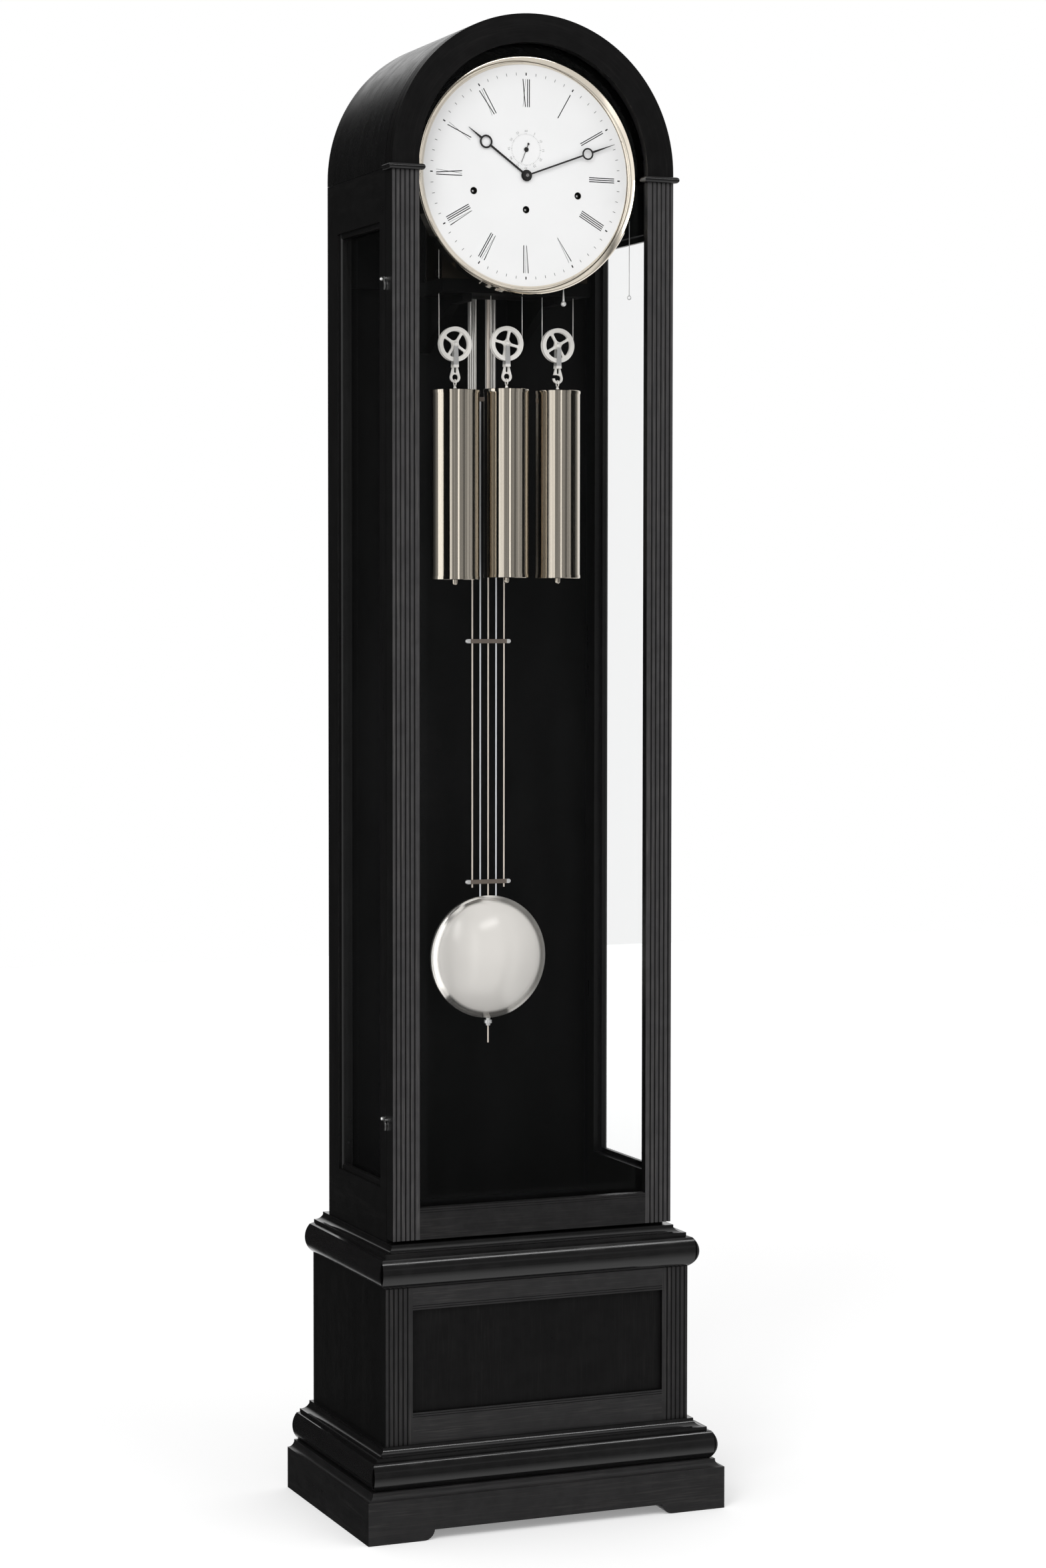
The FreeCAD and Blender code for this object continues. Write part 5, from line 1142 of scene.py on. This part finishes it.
def stage_finish(name, studio):
    """Matt floor that the camera and clear glass see as white, with the clock's shadow kept."""
    board = finish_board(name)
    x, y, z = board.place()
    cloud = board.cloud(1.5, 2.0, 0.5)
    straight = ray(board, "Camera") + ray(board, "Transmission")
    reach = (x * x + y * y) ** 0.5
    matt = board.put("BsdfDiffuse", {}, {
        "Color": board.mix(cloud, paint(studio.floor), paint(studio.floor, 0.99)),
    })
    strength = straight * reach.ramp(1.2, 5.0, studio.glow, studio.far_glow)
    light = board.put("Emission", {}, {"Color": (1.0, 1.0, 1.0, 1.0), "Strength": strength})
    both = board.put("AddShader", {}, {0: matt.outputs["BSDF"], 1: light.outputs["Emission"]})
    return board.close(both.outputs["Shader"])


def soft_box(name, place, target, width, height, power):
    """Soft lamp that the camera doesn't see, turned towards a target."""
    light = bpy.data.lights.new(name, "AREA")
    light.shape = "RECTANGLE"
    light.size = width
    light.size_y = height
    light.energy = power
    holder = bpy.data.objects.new(name, light)
    bpy.context.collection.objects.link(holder)
    holder.location = place
    aim = Vector(target) - Vector(place)
    holder.rotation_euler = aim.to_track_quat("-Z", "Y").to_euler()
    holder.visible_camera = False


# Tall windows that gloss reflects: bearing of the middle, half width and soft edge in degrees, brightness
WINDOWS = (
    (-88.0, 17.0, 3.0, 1.5),
    (-50.0, 13.0, 3.0, 0.85),
    (-4.0, 2.5, 1.5, 1.5),
    (44.0, 2.5, 2.0, 0.25),
    (62.0, 4.0, 4.0, 0.25),
    (98.0, 10.0, 5.0, 0.1),
)


def band(bearing, middle, half, soft):
    """One where a bearing lies near a middle, none elsewhere; middle, half width and edge are in degrees."""
    away = abs(bearing - math.radians(middle))
    return away.ramp(math.radians(half), math.radians(half + soft), 1.0, 0.0)


def surroundings(board, studio):
    """White room behind, dimmer room in front with tall soft windows that bright metal reflects."""
    spot = board.put("TexCoord", {}, {}).outputs["Generated"]
    parts = board.put("SeparateXYZ", {}, {"Vector": spot}).outputs
    x, y, z = (Wire(board, part) for part in parts)
    bearing = x.angle_to(0.0 - y)
    level = 1.0 - abs(z).ramp(0.60, 0.80)
    windows = sum(band(bearing, *window) * bright for *window, bright in WINDOWS) * level
    front = 0.0 - y
    ceiling = z.ramp(0.78, 0.97) * front.ramp(-0.6, 0.0, 0.25, 0.85)
    ground = (0.0 - z).ramp(0.34, 0.75) * front.ramp(-0.4, 0.2) * 0.5
    backdrop = y.ramp(0.0, 0.5) * x.ramp(-0.12, 0.15)
    mirrored = band(bearing, 22.5, 3.0, 2.0) * (1.0 - abs(z + 0.05).ramp(0.22, 0.30))
    dim = front.ramp(-0.8, -0.2, 0.02, studio.room) * (1.0 - 0.6 * mirrored)
    dim = dim * (1.0 - 0.55 * z.ramp(0.22, 0.40)) * (1.0 - 0.7 * x.ramp(0.78, 0.94))
    room = (dim + windows + ceiling + ground + backdrop).sum("MINIMUM", 1.6)
    straight = ray(board, "Camera") + ray(board, "Transmission")
    glossy = ray(board, "Glossy")
    soft = (1.0 - straight - glossy).sum("MAXIMUM", 0.0)
    strength = straight + glossy * room + soft * studio.soft_light
    back = board.put("Background", {}, {"Color": (1.0, 1.0, 1.0, 1.0), "Strength": strength})
    end = board.put("OutputWorld", {}, {})
    board.feed(end.inputs["Surface"], back.outputs["Background"])


class CLOCK_OT_studio(Operator):
    """Set the floor, surroundings, soft lights and camera"""

    bl_idname = "clock.studio"
    bl_label = "Set the studio"

    def execute(self, context):
        studio = context.scene.clock_studio
        scene = context.scene
        scene.view_settings.view_transform = "Standard"
        alone()
        bpy.ops.mesh.primitive_plane_add(size=14.0, location=(0.0, 0.0, 0.0))
        floor = context.object
        floor.name = "studio_floor"
        floor.data.materials.append(stage_finish("studio_white", studio))
        floor.visible_glossy = False
        scene.world = bpy.data.worlds.new("studio_world")
        surroundings(Board(scene.world), studio)
        soft_box("key_light", (-2.6, -2.8, 3.4), (0.0, 0.0, 1.1), 1.6, 2.2, studio.key)
        soft_box("top_strip", (1.6, -2.6, 3.4), (0.0, 0.0, 0.5), 2.4, 0.25, studio.strip)
        eye = bpy.data.cameras.new("studio_camera")
        eye.sensor_fit = "AUTO"
        eye.sensor_width = 36.0
        eye.lens = studio.lens
        eye.shift_x = 0.0
        eye.shift_y = studio.rise
        eye.dof.use_dof = False
        eye.clip_end = 50.0
        holder = bpy.data.objects.new("studio_camera", eye)
        context.collection.objects.link(holder)
        holder.matrix_world = (
            Matrix.Translation(Vector(studio.eye))
            @ Matrix.Rotation(math.radians(studio.yaw), 4, "Z")
            @ Matrix.Rotation(math.radians(90.0 + studio.pitch), 4, "X")
            @ Matrix.Rotation(math.radians(studio.roll), 4, "Z")
        )
        scene.camera = holder
        return {"FINISHED"}


class CLOCK_PT_sidebar(Panel):
    """Buttons and values of the clock"""

    bl_label = "Longcase clock"
    bl_idname = "CLOCK_PT_sidebar"
    bl_space_type = "VIEW_3D"
    bl_region_type = "UI"
    bl_category = "Clock"

    def draw(self, context):
        for name, group in GROUPS.items():
            box = self.layout.box()
            for key in group.__annotations__:
                box.prop(getattr(context.scene, name), key)
        for operator in OPERATORS:
            self.layout.operator(operator.bl_idname)


OPERATORS = (
    CLOCK_OT_studio,
    CLOCK_OT_case,
    CLOCK_OT_metal,
    CLOCK_OT_figures,
    CLOCK_OT_marks,
    CLOCK_OT_seconds,
    CLOCK_OT_eyelets,
    CLOCK_OT_cables,
)
GROUPS = {
    "clock_case": CLOCK_PG_case,
    "clock_metal": CLOCK_PG_metal,
    "clock_dial": CLOCK_PG_dial,
    "clock_cable": CLOCK_PG_cable,
    "clock_studio": CLOCK_PG_studio,
}


def register():
    for name, group in GROUPS.items():
        bpy.utils.register_class(group)
        setattr(bpy.types.Scene, name, PointerProperty(type=group))
    for operator in OPERATORS:
        bpy.utils.register_class(operator)
    bpy.utils.register_class(CLOCK_PT_sidebar)


def unregister():
    bpy.utils.unregister_class(CLOCK_PT_sidebar)
    for operator in reversed(OPERATORS):
        bpy.utils.unregister_class(operator)
    for name, group in reversed(GROUPS.items()):
        delattr(bpy.types.Scene, name)
        bpy.utils.unregister_class(group)


def main():
    register()
    bpy.ops.clock.studio()
    bpy.ops.clock.case()
    bpy.ops.clock.metal()
    bpy.ops.clock.figures()
    bpy.ops.clock.marks()
    bpy.ops.clock.seconds()
    bpy.ops.clock.eyelets()
    bpy.ops.clock.cables()


if __name__ == "__main__":
    main()
